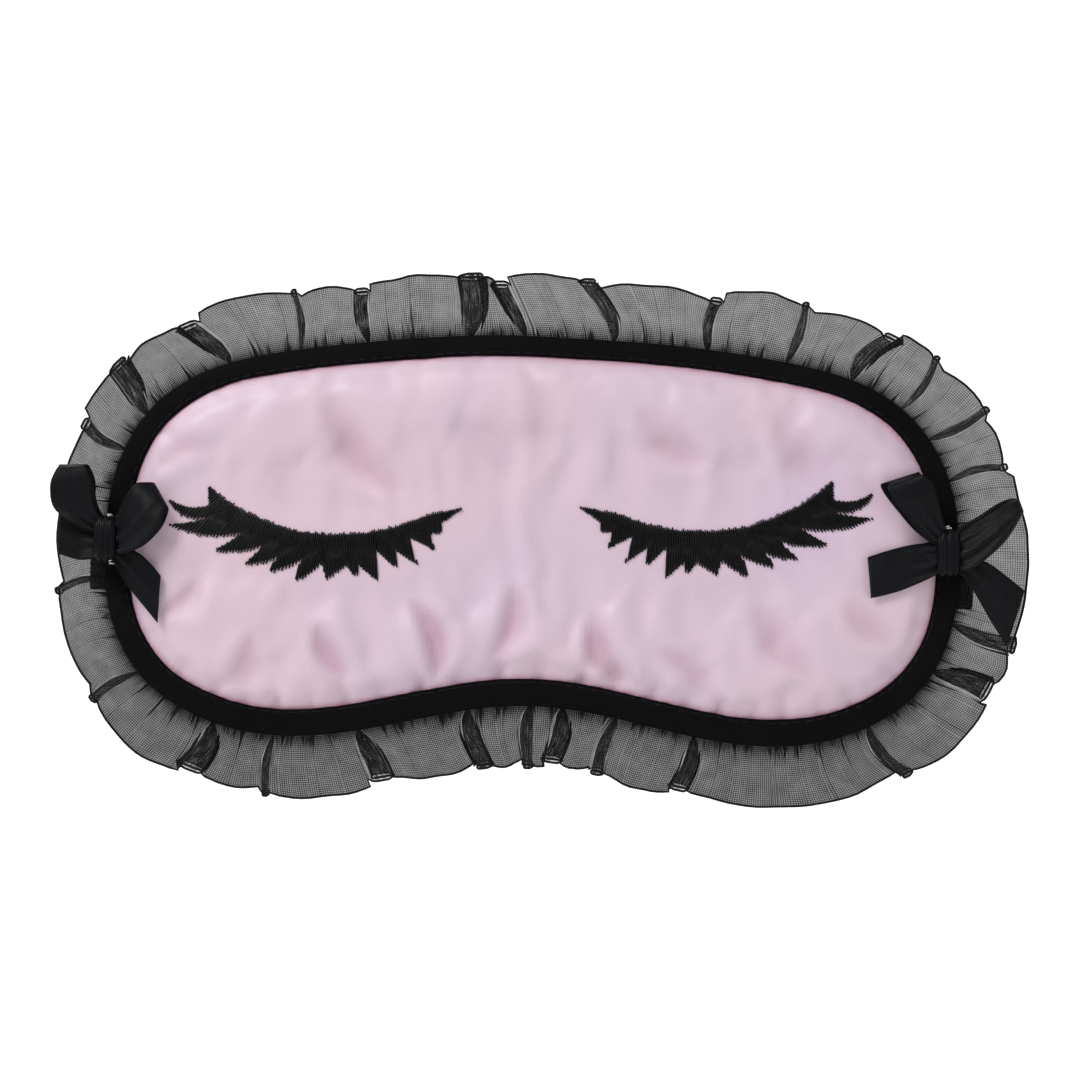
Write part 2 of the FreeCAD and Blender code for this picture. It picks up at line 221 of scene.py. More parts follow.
def soft_noise(points, size, seed=0.0):
    """Smooth noise between about -1 and 1 at each point."""
    shift = Vector((seed * 7.13, seed * 3.71, seed * 1.93))
    return np.array([noise.noise(Vector(p) / size + shift) for p in points.reshape(-1, 3)]
                    ).reshape(points.shape[:-1])


def lumps(points, *layers):
    """Noise of several sizes added up. Each layer is its size in mm, its height and its seed."""
    return sum(soft_noise(points, size * MM, seed) * height for size, height, seed in layers)


def smooth_step(x):
    """0 below 0, 1 above 1, and a soft rise between them."""
    x = np.clip(x, 0, 1)
    return x * x * (3 - 2 * x)


# %% [markdown]
# ## Materials
#
# A small function adds a node and sets its inputs, so each finish below reads as a short list.
# Numbers that are the same all over a surface are typed into the shader itself.

# %% Material helpers
def material(name):
    made = bpy.data.materials.new(name)
    made.use_nodes = True
    made.node_tree.nodes.clear()
    return made


def add(tree, kind, links=None, family="ShaderNode", **settings):
    """A node of this kind. Settings that are inputs are typed in, others are properties."""
    node = tree.nodes.new(family + kind)
    for name, value in settings.items():
        label = name.replace("_", " ")
        if label in node.inputs:
            node.inputs[label].default_value = value
        else:
            setattr(node, name, value)
    for name, socket in (links or {}).items():
        tree.links.new(socket, node.inputs[name])
    return node


def surface(tree, shader):
    output = add(tree, "OutputMaterial")
    tree.links.new(shader, output.inputs["Surface"])


def object_place(tree, scale=(1, 1, 1), turn=(0, 0, 0)):
    """Places in the frame that all pieces share, in metres."""
    coordinates = add(tree, "TexCoord")
    return add(tree, "Mapping", {"Vector": coordinates.outputs["Object"]},
               Scale=scale, Rotation=turn).outputs[0]


def cloth_place(tree, scale=(1, 1, 1)):
    """Places on the cloth's own map, in metres."""
    coordinates = add(tree, "UVMap", uv_map="cloth")
    return add(tree, "Mapping", {"Vector": coordinates.outputs["UV"]}, Scale=scale).outputs[0]


MIX_AMOUNT, MIX_FIRST, MIX_SECOND, MIX_RESULT = 0, 6, 7, 2


def two_colours(tree, amount, first, second):
    """A mix of two colours. Each is three numbers or the output of another node."""
    mix = add(tree, "Mix", data_type="RGBA")
    tree.links.new(amount, mix.inputs[MIX_AMOUNT])
    for place, colour in ((MIX_FIRST, first), (MIX_SECOND, second)):
        if isinstance(colour, bpy.types.NodeSocket):
            tree.links.new(colour, mix.inputs[place])
        else:
            mix.inputs[place].default_value = (*colour, 1)
    return mix.outputs[MIX_RESULT]


def ramp(tree, value, low, high):
    """0 at low and 1 at high."""
    return add(tree, "MapRange", {"Value": value}, From_Min=low, From_Max=high).outputs[0]


WAVE_RADIANS = 20


def bands(per_metre):
    """The scale at which a wave texture draws this many bands to the metre. At scale 1 the
    texture turns through 20 radians in a metre."""
    return per_metre * TAU / WAVE_RADIANS


def bump(tree, height, strength, distance, below=None):
    links = {"Height": height}
    if below is not None:
        links["Normal"] = below
    return add(tree, "Bump", links, Strength=strength, Distance=distance).outputs[0]


# %% [markdown]
# ### Satin
#
# Satin is woven so that long threads float over the face. They catch light along one direction
# and look smooth and milky, with a fine grain one thread wide. Broad noise changes the pink a
# little towards lilac at random places, a painted sheen for the patches of light that satin
# catches. A point attribute paints shade into the cloth: a darker, warmer pink in its creases
# and where it turns down into the seam.

# %% Satin materials
def satin(name, light, lilac, seam, roughness, painted_shade_attribute=True):
    """Satin that drifts between two pinks, and towards a darker third pink where shade is painted in."""
    made = material(name)
    tree = made.node_tree
    broad = add(tree, "TexNoise", {"Vector": object_place(tree, (1, 1, 1))},
                Scale=24.0, Detail=2.0, Roughness=0.4).outputs[0]
    # Painted sheen: broad noise mixes the light pink and the lilac at random places.
    colour = two_colours(tree, ramp(tree, broad, 0.25, 0.75), light, lilac)
    # Painted shade: the attribute turns the colour to the darker seam pink in creases and beside the
    # binding.
    if painted_shade_attribute:
        seam_and_crease_shade = add(tree, "Attribute", attribute_name="seam_and_crease_shade").outputs["Fac"]
        colour = two_colours(tree, seam_and_crease_shade, colour, seam)
    grain = add(tree, "TexNoise", {"Vector": object_place(tree, (1, 1, 0.16))},
                Scale=2600.0, Detail=2.0).outputs[0]
    floats = add(tree, "TexWave", {"Vector": object_place(tree)}, wave_type="BANDS",
                 bands_direction="Z", Scale=bands(2200), Distortion=1.2, Detail=1.0).outputs[1]
    weave = bump(tree, floats, 0.10, 0.00008)
    cloth = bump(tree, grain, 0.16, 0.00012, weave)
    spread = ramp(tree, grain, 0.2, 0.8)
    rough = add(tree, "MapRange", {"Value": spread}, To_Min=roughness - 0.05,
                To_Max=roughness + 0.07).outputs[0]
    shader = add(tree, "BsdfPrincipled",
                 {"Base Color": colour, "Roughness": rough, "Normal": cloth},
                 Specular_IOR_Level=0.45, Sheen_Weight=0.08, Sheen_Roughness=0.3)
    surface(tree, shader.outputs[0])
    return made


# The seam colour is the painted shade of creases and of the turn into the binding; the back satin does
# not use it.
front_satin = satin("front satin", light=(0.735, 0.55, 0.61), lilac=(0.665, 0.52, 0.65),
                    seam=(0.45, 0.20, 0.29), roughness=0.45)
back_satin = satin("back satin", light=(0.69, 0.51, 0.60), lilac=(0.66, 0.50, 0.63),
                   seam=(0.56, 0.30, 0.40), roughness=0.40, painted_shade_attribute=False)
print("satins:", front_satin.name, "and", back_satin.name)

# %% [markdown]
# ### Black cloths and threads
#
# Black cloth is never quite black: it is dark grey with a direction to it. The binding is a
# fine ribbed tape, so its ribs run along the edge, and a sheen painted into the colour lifts
# the rib crests, mixed with random patches of tone. Embroidery thread and ribbon are shinier,
# and a touch blue.

# %% Dark materials
def dark_cloth(name, deep, lifted, ribs_per_metre, rib_strength, roughness, gloss, sheen):
    """Cloth with ribs, so many to the metre, along its length or across it."""
    made = material(name)
    tree = made.node_tree
    ribs = add(tree, "TexWave", {"Vector": cloth_place(tree)}, wave_type="BANDS",
               bands_direction="Y", Scale=bands(ribs_per_metre), Distortion=0.6, Detail=2.0,
               Detail_Scale=2.0).outputs[1]
    fibres = add(tree, "TexNoise", {"Vector": cloth_place(tree, (0.35, 1, 1))},
                 Scale=2400.0, Detail=3.0).outputs[0]
    patches = add(tree, "TexNoise", {"Vector": object_place(tree)}, Scale=90.0,
                  Detail=3.0).outputs[0]
    # Painted sheen: the colour turns from deep to lifted on the rib crests; the patches are random tone.
    shade = add(tree, "Math", {0: ribs, 1: patches}, operation="MULTIPLY").outputs[0]
    colour = two_colours(tree, ramp(tree, shade, 0.05, 0.6), deep, lifted)
    folded = bump(tree, ribs, rib_strength, 0.00018)
    fuzzy = bump(tree, fibres, 0.35, 0.00015, folded)
    rough = add(tree, "MapRange", {"Value": fibres}, To_Min=roughness - 0.08,
                To_Max=roughness + 0.1).outputs[0]
    shader = add(tree, "BsdfPrincipled",
                 {"Base Color": colour, "Roughness": rough, "Normal": fuzzy},
                 Specular_IOR_Level=gloss, Sheen_Weight=sheen, Sheen_Roughness=0.4)
    surface(tree, shader.outputs[0])
    return made


TWISTS_PER_METRE = 2500.0


def thread_material(name, deep, lifted, roughness, gloss):
    """Twisted thread, patterned in place because its pieces are too fine for a map."""
    made = material(name)
    tree = made.node_tree
    twist = add(tree, "TexWave", {"Vector": object_place(tree, turn=(0.5, 0.3, 0.8))},
                wave_type="BANDS", Scale=bands(TWISTS_PER_METRE), Distortion=2.0,
                Detail=1.0).outputs[1]
    patches = add(tree, "TexNoise", {"Vector": object_place(tree)}, Scale=420.0,
                  Detail=2.0).outputs[0]
    colour = two_colours(tree, ramp(tree, patches, 0.35, 0.7), deep, lifted)
    shader = add(tree, "BsdfPrincipled",
                 {"Base Color": colour, "Normal": bump(tree, twist, 0.3, 0.0001)},
                 Roughness=roughness, Specular_IOR_Level=gloss)
    surface(tree, shader.outputs[0])
    return made


# In the three dark cloths below, lifted is the painted sheen on the ribs; deep is the cloth's own black.
binding_cloth = dark_cloth(
    "binding tape", deep=(0.0018, 0.0014, 0.0018), lifted=(0.0050, 0.0042, 0.0050),
    ribs_per_metre=1900.0, rib_strength=0.22, roughness=0.75, gloss=0.07, sheen=0.004)
ribbon_satin = dark_cloth(
    "bow ribbon", deep=(0.0006, 0.0008, 0.0014), lifted=(0.0042, 0.0052, 0.0076),
    ribs_per_metre=2600.0, rib_strength=0.50, roughness=0.38, gloss=0.15, sheen=0.0)
elastic_knit = dark_cloth(
    "strap elastic", deep=(0.004, 0.004, 0.005), lifted=(0.016, 0.016, 0.018),
    ribs_per_metre=900.0, rib_strength=0.6, roughness=0.7, gloss=0.2, sheen=0.03)
embroidery_thread = thread_material(
    "embroidery thread", deep=(0.0015, 0.0015, 0.0018), lifted=(0.005, 0.005, 0.006),
    roughness=0.38, gloss=0.20)
sewing_thread = thread_material(
    "sewing thread", deep=(0.003, 0.003, 0.0035), lifted=(0.009, 0.009, 0.010),
    roughness=0.55, gloss=0.15)
tack_thread = thread_material(
    "clear tacking thread", deep=(0.55, 0.55, 0.56), lifted=(0.85, 0.85, 0.86),
    roughness=0.25, gloss=0.5)
print("dark finishes:", ", ".join(finish.name for finish in (
    binding_cloth, ribbon_satin, elastic_knit, embroidery_thread, sewing_thread)))

# %% [markdown]
# ### Organza
#
# Organza is a stiff, open weave of very thin threads. Light passes between them, so the cloth
# is drawn as a mix of clear air and dark thread. A grid of threads is laid on the cloth's own
# map, in metres, so that it bends with each fold, and every layer that lies over another
# darkens what is behind it, as the real folds do.

# %% Organza material
THREADS_PER_METRE = 2200.0


def organza(name):
    made = material(name)
    tree = made.node_tree
    lines = []
    for direction in ("X", "Y"):
        wave = add(tree, "TexWave", {"Vector": cloth_place(tree)}, wave_type="BANDS",
                   bands_direction=direction, Scale=bands(THREADS_PER_METRE), Distortion=0.25,
                   Detail=1.0, Detail_Scale=0.4)
        lines.append(wave.outputs[1])
    grid = add(tree, "Math", {0: lines[0], 1: lines[1]}, operation="MAXIMUM").outputs[0]
    uneven = add(tree, "TexNoise", {"Vector": cloth_place(tree)}, Scale=260.0,
                 Detail=3.0).outputs[0]
    base = add(tree, "Attribute", attribute_name="cover").outputs["Fac"]
    threads = add(tree, "MapRange", {"Value": grid}, From_Min=0.55, From_Max=1.0,
                  To_Min=-0.07, To_Max=0.16).outputs[0]
    cover = add(tree, "Math", {0: base, 1: threads}, operation="ADD").outputs[0]
    drift = add(tree, "MapRange", {"Value": uneven}, To_Min=-0.07, To_Max=0.07).outputs[0]
    cover = add(tree, "Math", {0: cover, 1: drift}, operation="ADD").outputs[0]
    crinkled = add(tree, "Attribute", attribute_name="crinkle").outputs["Fac"]
    streaks = add(tree, "TexNoise", {"Vector": cloth_place(tree, (1, 0.12, 1))}, Scale=2200.0,
                  Detail=2.0).outputs[0]
    dark = add(tree, "MapRange", {"Value": streaks}, From_Min=0.35, From_Max=0.65,
               To_Min=-0.12, To_Max=0.30).outputs[0]
    dark = add(tree, "Math", {0: dark, 1: crinkled}, operation="MULTIPLY").outputs[0]
    cover = add(tree, "Math", {0: cover, 1: dark}, operation="ADD", use_clamp=True).outputs[0]
    colour = two_colours(tree, uneven, (0.004, 0.004, 0.0045), (0.012, 0.012, 0.013))
    shader = add(tree, "BsdfPrincipled",
                 {"Base Color": colour, "Alpha": cover,
                  "Normal": bump(tree, grid, 0.25, 0.0001)},
                 Roughness=0.6, Specular_IOR_Level=0.15)
    surface(tree, shader.outputs[0])
    return made


black_organza = organza("black organza")
print(f"organza has {THREADS_PER_METRE / 1000:.1f} threads to the millimetre")

# %% [markdown]
# ### Inside the pad
#
# The wadding and the dark lining are closed in by the satin. They still get their own finishes,
# because the mask can be taken apart on a screen as on a bench.

# %% Inner materials
def felted(name, deep, light, scale):
    made = material(name)
    tree = made.node_tree
    fibres = add(tree, "TexNoise", {"Vector": object_place(tree)}, Scale=scale, Detail=6.0,
                 Roughness=0.7).outputs[0]
    clumps = add(tree, "TexVoronoi", {"Vector": object_place(tree)}, Scale=scale / 4).outputs[0]
    colour = two_colours(tree, ramp(tree, fibres, 0.3, 0.7), deep, light)
    lifted = bump(tree, fibres, 0.8, 0.0004, bump(tree, clumps, 0.3, 0.0004))
    shader = add(tree, "BsdfPrincipled", {"Base Color": colour, "Normal": lifted},
                 Roughness=0.95, Sheen_Weight=0.3)
    surface(tree, shader.outputs[0])
    return made


wadding = felted("wadding", deep=(0.72, 0.72, 0.70), light=(0.90, 0.90, 0.88), scale=900.0)
lining_cloth = felted("blackout lining", deep=(0.006, 0.006, 0.007), light=(0.02, 0.02, 0.022),
                      scale=1600.0)
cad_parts["blackout_lining"].data.materials.clear()
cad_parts["blackout_lining"].data.materials.append(lining_cloth)
print("inner finishes:", wadding.name, "and", lining_cloth.name)

# %% [markdown]
# ## Threads with Geometry Nodes
#
# Stitches, embroidery and the rolled hem are all thread that follows a line. One node tree
# turns mesh lines into round thread: the lines become curves, a small circle is swept along
# them, and an attribute called thin narrows the ends. A second tree walks along a seam and
# sets a stitch at every step.

# %% Helpers for the trees
def new_tree(name, inputs):
    tree = bpy.data.node_groups.new(name, "GeometryNodeTree")
    tree.interface.new_socket("Geometry", in_out="INPUT", socket_type="NodeSocketGeometry")
    tree.interface.new_socket("Geometry", in_out="OUTPUT", socket_type="NodeSocketGeometry")
    for label, kind, value in inputs:
        socket = tree.interface.new_socket(label, in_out="INPUT", socket_type="NodeSocket" + kind)
        if value is not None:
            socket.default_value = value
    return tree, tree.nodes.new("NodeGroupInput"), tree.nodes.new("NodeGroupOutput")


def geo(tree, kind, links=None, **settings):
    return add(tree, kind, links, family="GeometryNode", **settings)


def end_tree(tree, group_in, group_out, geometry):
    solid = geo(tree, "RealizeInstances", {"Geometry": geometry})
    shade = geo(tree, "SetMaterial", {"Geometry": solid.outputs[0],
                                      "Material": group_in.outputs["Material"]})
    tree.links.new(shade.outputs[0], group_out.inputs[0])


# %% Tree that sweeps a thread along lines
def thread_tree():
    tree, group_in, group_out = new_tree("thread along lines", (
        ("Thread Radius", "Float", 0.0002), ("Sides", "Int", 5), ("Material", "Material", None)))
    lines = geo(tree, "MeshToCurve", {"Mesh": group_in.outputs["Geometry"]})
    thin = geo(tree, "InputNamedAttribute", data_type="FLOAT", Name="thin")
    ring = geo(tree, "CurvePrimitiveCircle", {"Resolution": group_in.outputs["Sides"],
                                              "Radius": group_in.outputs["Thread Radius"]})
    sweep = geo(tree, "CurveToMesh", {"Curve": lines.outputs[0],
                                      "Profile Curve": ring.outputs[0],
                                      "Scale": thin.outputs[0]}, Fill_Caps=True)
    end_tree(tree, group_in, group_out, sweep.outputs[0])
    return tree


# %% Tree that sets a stitch at every step of a seam
def seam_tree():
    tree, group_in, group_out = new_tree("stitches along a seam", (
        ("Stitch Length", "Float", 0.0022), ("Gap", "Float", 0.0006),
        ("Thread Radius", "Float", 0.00015), ("Wander", "Float", 0.05), ("Seed", "Int", 7),
        ("Material", "Material", None)))
    lines = geo(tree, "MeshToCurve", {"Mesh": group_in.outputs["Geometry"]})
    pitch = tree.nodes.new("ShaderNodeMath")
    tree.links.new(group_in.outputs["Stitch Length"], pitch.inputs[0])
    tree.links.new(group_in.outputs["Gap"], pitch.inputs[1])
    steps = geo(tree, "CurveToPoints", {"Curve": lines.outputs[0], "Length": pitch.outputs[0]},
                mode="LENGTH")
    bar = geo(tree, "CurvePrimitiveLine", mode="DIRECTION", Direction=(0, 0, 1))
    tree.links.new(group_in.outputs["Stitch Length"], bar.inputs["Length"])
    bent = geo(tree, "ResampleCurve", {"Curve": bar.outputs[0]}, Count=4)
    factor = geo(tree, "SplineParameter")
    rounded = tree.nodes.new("ShaderNodeFloatCurve")
    curve = rounded.mapping.curves[0]
    curve.points[0].location = (0.0, 0.35)
    curve.points[1].location = (1.0, 0.35)
    curve.points.new(0.3, 1.0)
    curve.points.new(0.7, 1.0)
    tree.links.new(factor.outputs["Factor"], rounded.inputs["Value"])
    ring = geo(tree, "CurvePrimitiveCircle", {"Radius": group_in.outputs["Thread Radius"]},
               Resolution=6)
    stitch = geo(tree, "CurveToMesh", {"Curve": bent.outputs[0],
                                       "Profile Curve": ring.outputs[0],
                                       "Scale": rounded.outputs[0]}, Fill_Caps=True)
    jitter = tree.nodes.new("FunctionNodeRandomValue")
    jitter.data_type = "FLOAT_VECTOR"
    amount = tree.nodes.new("ShaderNodeVectorMath")
    amount.operation = "SCALE"
    jitter.inputs[0].default_value = (-1, -1, -1)
    jitter.inputs[1].default_value = (1, 1, 1)
    tree.links.new(group_in.outputs["Seed"], jitter.inputs["Seed"])
    tree.links.new(jitter.outputs[0], amount.inputs[0])
    tree.links.new(group_in.outputs["Wander"], amount.inputs["Scale"])
    placed = geo(tree, "InstanceOnPoints", {"Points": steps.outputs["Points"],
                                            "Instance": stitch.outputs[0],
                                            "Rotation": steps.outputs["Rotation"]})
    turned = geo(tree, "RotateInstances", {"Instances": placed.outputs[0],
                                           "Rotation": amount.outputs[0]})
    end_tree(tree, group_in, group_out, turned.outputs[0])
    return tree


# %% Run a tree on mesh lines
def socket_id(tree, label):
    return next(item.identifier for item in tree.interface.items_tree
                if item.name == label and item.in_out == "INPUT")


threads_on_lines = thread_tree()
stitches_on_seam = seam_tree()


def grown(name, mesh, tree, **values):
    """A plain mesh made by running the tree on mesh lines."""
    piece = new_object(name, mesh, None)
    modifier = piece.modifiers.new("tree", "NODES")
    modifier.node_group = tree
    for label, value in values.items():
        modifier[socket_id(tree, label.replace("_", " "))] = value
    piece = finished(piece)
    piece.data.polygons.foreach_set("use_smooth", [True] * len(piece.data.polygons))
    return piece


def lines_mesh(name, lines, closed=False, thin=None):
    """Mesh lines from lists of points. thin holds a width factor for each point."""
    points, edges, factors = [], [], []
    for number, line in enumerate(lines):
        first = len(points)
        points += [tuple(p) for p in line]
        edges += [(first + k, first + k + 1) for k in range(len(line) - 1)]
        if closed:
            edges.append((first + len(line) - 1, first))
        factors += list(thin[number]) if thin else [1.0] * len(line)
    mesh = bpy.data.meshes.new(name)
    mesh.from_pydata(points, edges, [])
    layer = mesh.attributes.new("thin", "FLOAT", "POINT")
    layer.data.foreach_set("value", np.array(factors, np.float32))
    return mesh


print("thread trees ready:", threads_on_lines.name, "and", stitches_on_seam.name)

# %% [markdown]
# ## The studio
#
# A pale floor runs back into a pale wall through a wide curve, so that no line shows behind the
# mask. One large soft light stands high on the left, a weaker one fills from the right, and the
# world adds an even white. The camera looks straight at the front with a long lens, and leans a
# little, so the mask seems to lie slightly clockwise.

# %% Stage, lights and camera
FLOOR_DROP = 0.26
FLOOR_NEAR = -3.0
FLOOR_FAR = 1.6
PAPER_HALF_WIDTH = 3.2
WALL_BEND = 0.8
WALL_HEIGHT = 3.0
BEND_STEPS = 12
WORLD_LIGHT = 0.46
CAMERA_AWAY = 0.703
CAMERA_SIDE = 1.75 * MM
CAMERA_LEAN = 1.3


def stage_material():
    made = material("studio paper")
    tree = made.node_tree
    grain = add(tree, "TexNoise", {"Vector": object_place(tree)}, Scale=30.0, Detail=4.0).outputs[0]
    colour = two_colours(tree, grain, (0.93, 0.93, 0.93), (0.95, 0.95, 0.95))
    shader = add(tree, "BsdfPrincipled",
                 {"Base Color": colour, "Normal": bump(tree, grain, 0.02, 0.001)}, Roughness=0.9)
    surface(tree, shader.outputs[0])
    return made


def build_stage():
    floor_height = cad_bounds[0][2] - FLOOR_DROP
    profile = [(FLOOR_NEAR, floor_height), (FLOOR_FAR, floor_height)]
    for step in range(1, BEND_STEPS + 1):
        angle = step / BEND_STEPS * math.pi / 2
        profile.append((FLOOR_FAR + WALL_BEND * math.sin(angle),
                        floor_height + WALL_BEND * (1 - math.cos(angle))))
    profile.append((FLOOR_FAR + WALL_BEND, floor_height + WALL_BEND + WALL_HEIGHT))
    points = np.array([[(-PAPER_HALF_WIDTH, y, z), (PAPER_HALF_WIDTH, y, z)] for y, z in profile])
    paper = new_object("studio_paper", grid_mesh("studio_paper", points), stage_material())


def area_light(name, place, target, size, power):
    """A round white light that looks at its target."""
    light = bpy.data.lights.new(name, "AREA")
    light.shape = "DISK"
    light.size = size
    light.energy = power
    lamp = bpy.data.objects.new(name, light)
    bpy.context.scene.collection.objects.link(lamp)
    lamp.location = place
    lamp.rotation_euler = (Vector(target) - Vector(place)).to_track_quat("-Z", "Y").to_euler()


def build_camera():
    lens = bpy.data.cameras.new("camera")
    lens.lens = 100
    lens.sensor_width = 36
    lens.clip_start = 0.01
    camera = bpy.data.objects.new("camera", lens)
    bpy.context.scene.collection.objects.link(camera)
    camera.matrix_world = (Matrix.Translation((CAMERA_SIDE, -CAMERA_AWAY, 0))
                           @ Matrix.Rotation(math.radians(90), 4, "X")
                           @ Matrix.Rotation(math.radians(CAMERA_LEAN), 4, "Z"))
    bpy.context.scene.camera = camera


def build_world():
    world = bpy.data.worlds.new("studio")
    world.use_nodes = True
    background = world.node_tree.nodes["Background"]
    background.inputs["Color"].default_value = (1, 1, 1, 1)
    background.inputs["Strength"].default_value = WORLD_LIGHT
    bpy.context.scene.world = world


build_stage()
build_camera()
build_world()
area_light("key", place=(-0.60, -0.62, 0.80), target=(0, 0, 0), size=0.50, power=8.2)
area_light("fill", place=(0.8, -0.9, 0.1), target=(0, 0, 0), size=0.8, power=1.5)
area_light("backdrop", place=(0, 0.7, 1.3), target=(0, 2.2, 0.2), size=1.2, power=32.0)
bpy.context.scene.view_settings.view_transform = "Standard"
print("camera", tuple(round(v, 3) for v in bpy.context.scene.camera.location))

# %% [markdown]
# ## A field of points inside the edge
#
# Both satin panels and the wadding lie inside the edge, so they share one field: a square grid,
# cut off at a chosen distance inside the edge, with its outermost points pulled on to that
# line. Every point knows how far inside the edge it lies and which share of the edge is nearest,
# so bulges and puckers can be written as functions of those two.

# %% Points inside the edge
GRID = 1.1 * MM
GRID_HALF_ACROSS = 92
GRID_HALF_UP = 45
SLIVER = 0.4 * GRID
BATCH = 2000


def nearest_edge(flat):
    """Index of the nearest point of the edge, and the distance inside it."""
    index = np.empty(len(flat), int)
    for first in range(0, len(flat), BATCH):
        part = flat[first:first + BATCH]
        gap = ((part[:, None, :] - edge_loop[None]) ** 2).sum(-1)
        index[first:first + BATCH] = gap.argmin(1)
    away = flat - edge_loop[index]
    side = np.sign((away * edge_out[index]).sum(1))
    return index, -side * np.linalg.norm(away, axis=1)


def field(inset):
    """Points, four-sided faces, share and depth inside the edge, for a panel cut at inset."""
    across = np.arange(-GRID_HALF_ACROSS, GRID_HALF_ACROSS + 1) * GRID
    up = np.arange(-GRID_HALF_UP, GRID_HALF_UP + 1) * GRID
    x, z = np.meshgrid(across, up, indexing="ij")
    flat = np.column_stack([x.ravel(), z.ravel()])
    index, depth = nearest_edge(flat)
    kept = (depth > inset + SLIVER).reshape(x.shape)
    whole = kept[:-1, :-1] & kept[1:, :-1] & kept[1:, 1:] & kept[:-1, 1:]
    number = np.arange(x.size).reshape(x.shape)
    faces = np.stack([number[:-1, :-1], number[1:, :-1], number[1:, 1:], number[:-1, 1:]], -1)[whole]
    uses = np.bincount(faces.ravel(), minlength=x.size)
    rim = (uses > 0) & (uses < 4)
    short = 0.5 * (depth[rim] - inset)
    flat[rim] += edge_out[index[rim]] * short[:, None]
    depth[rim] -= short
    used = uses > 0
    renumber = np.cumsum(used) - 1
    return flat[used], renumber[faces], index[used] / EDGE_STEPS, depth[used]


UNDER_BINDING = 1.6 * MM
inside_flat, inside_faces, inside_share, inside_depth = field(UNDER_BINDING)
print(f"{len(inside_flat)} points inside the edge")

# %% [markdown]
# ## Satin front
#
# The front is one piece of satin over wadding. It rises steeply from the binding to a soft,
# nearly flat middle. Where the curved edge was eased into the binding the satin is longer than
# its seam, so it puckers: small valleys run in from the stitching, closest together along the
# bottom, and the cloth between them puffs out. A cloth simulation of a panel that is held at the
# seam and a little too large for it gives the soft buckles. The longer creases are laid in one
# by one, and beside the bows the satin is pressed back under the ribbon.

# %% Shape of the padded front
front_low, front_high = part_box("front_panel")
SEAM_FRONT = front_high.y - 0.5 * MM
CROWN_FRONT = front_low.y
RISE_RUN = 17.0 * MM
LEG_TOP = 5.0 * MM
LEG_BOTTOM = 6.5 * MM


def front_leg(share):
    """Width of the binding on the front."""
    return LEG_BOTTOM + (LEG_TOP - LEG_BOTTOM) * facing_up(share)


# %% Puckers beside the binding
# Share of the way round, depth in mm, length in mm, lean in mm
PUCKERS = (
    (0.345, 1.04, 9, 1.0), (0.362, 0.66, 7, 0.5), (0.381, 0.94, 10, 1.5), (0.398, 0.75, 8, -1.0),
    (0.414, 1.42, 13, 2.5), (0.431, 0.85, 9, 1.0), (0.447, 1.13, 12, -2.0), (0.463, 0.94, 9, 0.5),
    (0.479, 1.51, 14, -2.5), (0.496, 0.94, 9, 1.5), (0.513, 1.22, 12, -1.0), (0.531, 0.94, 9, 2.0),
    (0.548, 1.42, 12, -2.0), (0.566, 0.85, 8, 1.0), (0.583, 1.13, 11, 1.5), (0.600, 0.85, 9, -1.0),
    (0.617, 1.13, 10, 2.0), (0.634, 0.75, 8, 0.0), (0.651, 0.94, 9, 1.0), (0.672, 0.66, 7, 0.5),
    (0.702, 0.43, 7, 1.0), (0.735, 0.51, 8, -1.0), (0.772, 0.43, 7, 0.5), (0.812, 0.51, 8, 1.0),
    (0.850, 0.36, 7, 0.5), (0.893, 0.43, 8, -1.0), (0.935, 0.32, 7, 1.0), (0.975, 0.36, 9, 0.5),
    (0.020, 0.36, 8, 0.0), (0.065, 0.32, 7, 1.0), (0.110, 0.41, 8, -1.0), (0.158, 0.36, 7, 0.5),
    (0.205, 0.46, 8, 0.5), (0.243, 0.41, 7, -1.0), (0.281, 0.51, 8, 1.0), (0.316, 0.58, 9, 1.0),
)

PUCKER_WIDTH = 1.2
PUCKER_SPREAD = 1.6
PUFF_BESIDE = 0.55
TAPE_FADE = 1.2 * MM


def along_edge(share, centre):
    """Signed distance along the edge from a share of it."""
    return ((share - centre + 0.5) % 1.0 - 0.5) * edge_length


def valley_shape(gap, width, beside, puff):
    """A rounded valley, with the cloth puffed up a little beside it."""
    return np.exp(-(gap / width) ** 2) - puff * np.exp(-((np.abs(gap) - beside * width) / width) ** 2)


def pucker_depth(share, depth):
    """How far the satin dips in its puckers. A pucker is narrow and deep at the tape, and widens
    and dies out inwards."""
    valley = np.zeros(len(share))
    leg = front_leg(share)
    for centre, deep, run, lean in PUCKERS:
        inward = np.clip((depth - leg) / (run * MM), 0, 1)
        middle = along_edge(share, centre) - lean * MM * inward
        width = (PUCKER_WIDTH + PUCKER_SPREAD * inward) * MM
        fade = (1 - inward) ** 1.2 * smooth_step((depth - leg + 0.3 * MM) / TAPE_FADE)
        valley += deep * MM * fade * valley_shape(middle, width, 2.2, PUFF_BESIDE)
    return valley


print(f"{len(PUCKERS)} puckers, the deepest {max(pucker[1] for pucker in PUCKERS):.1f} mm")

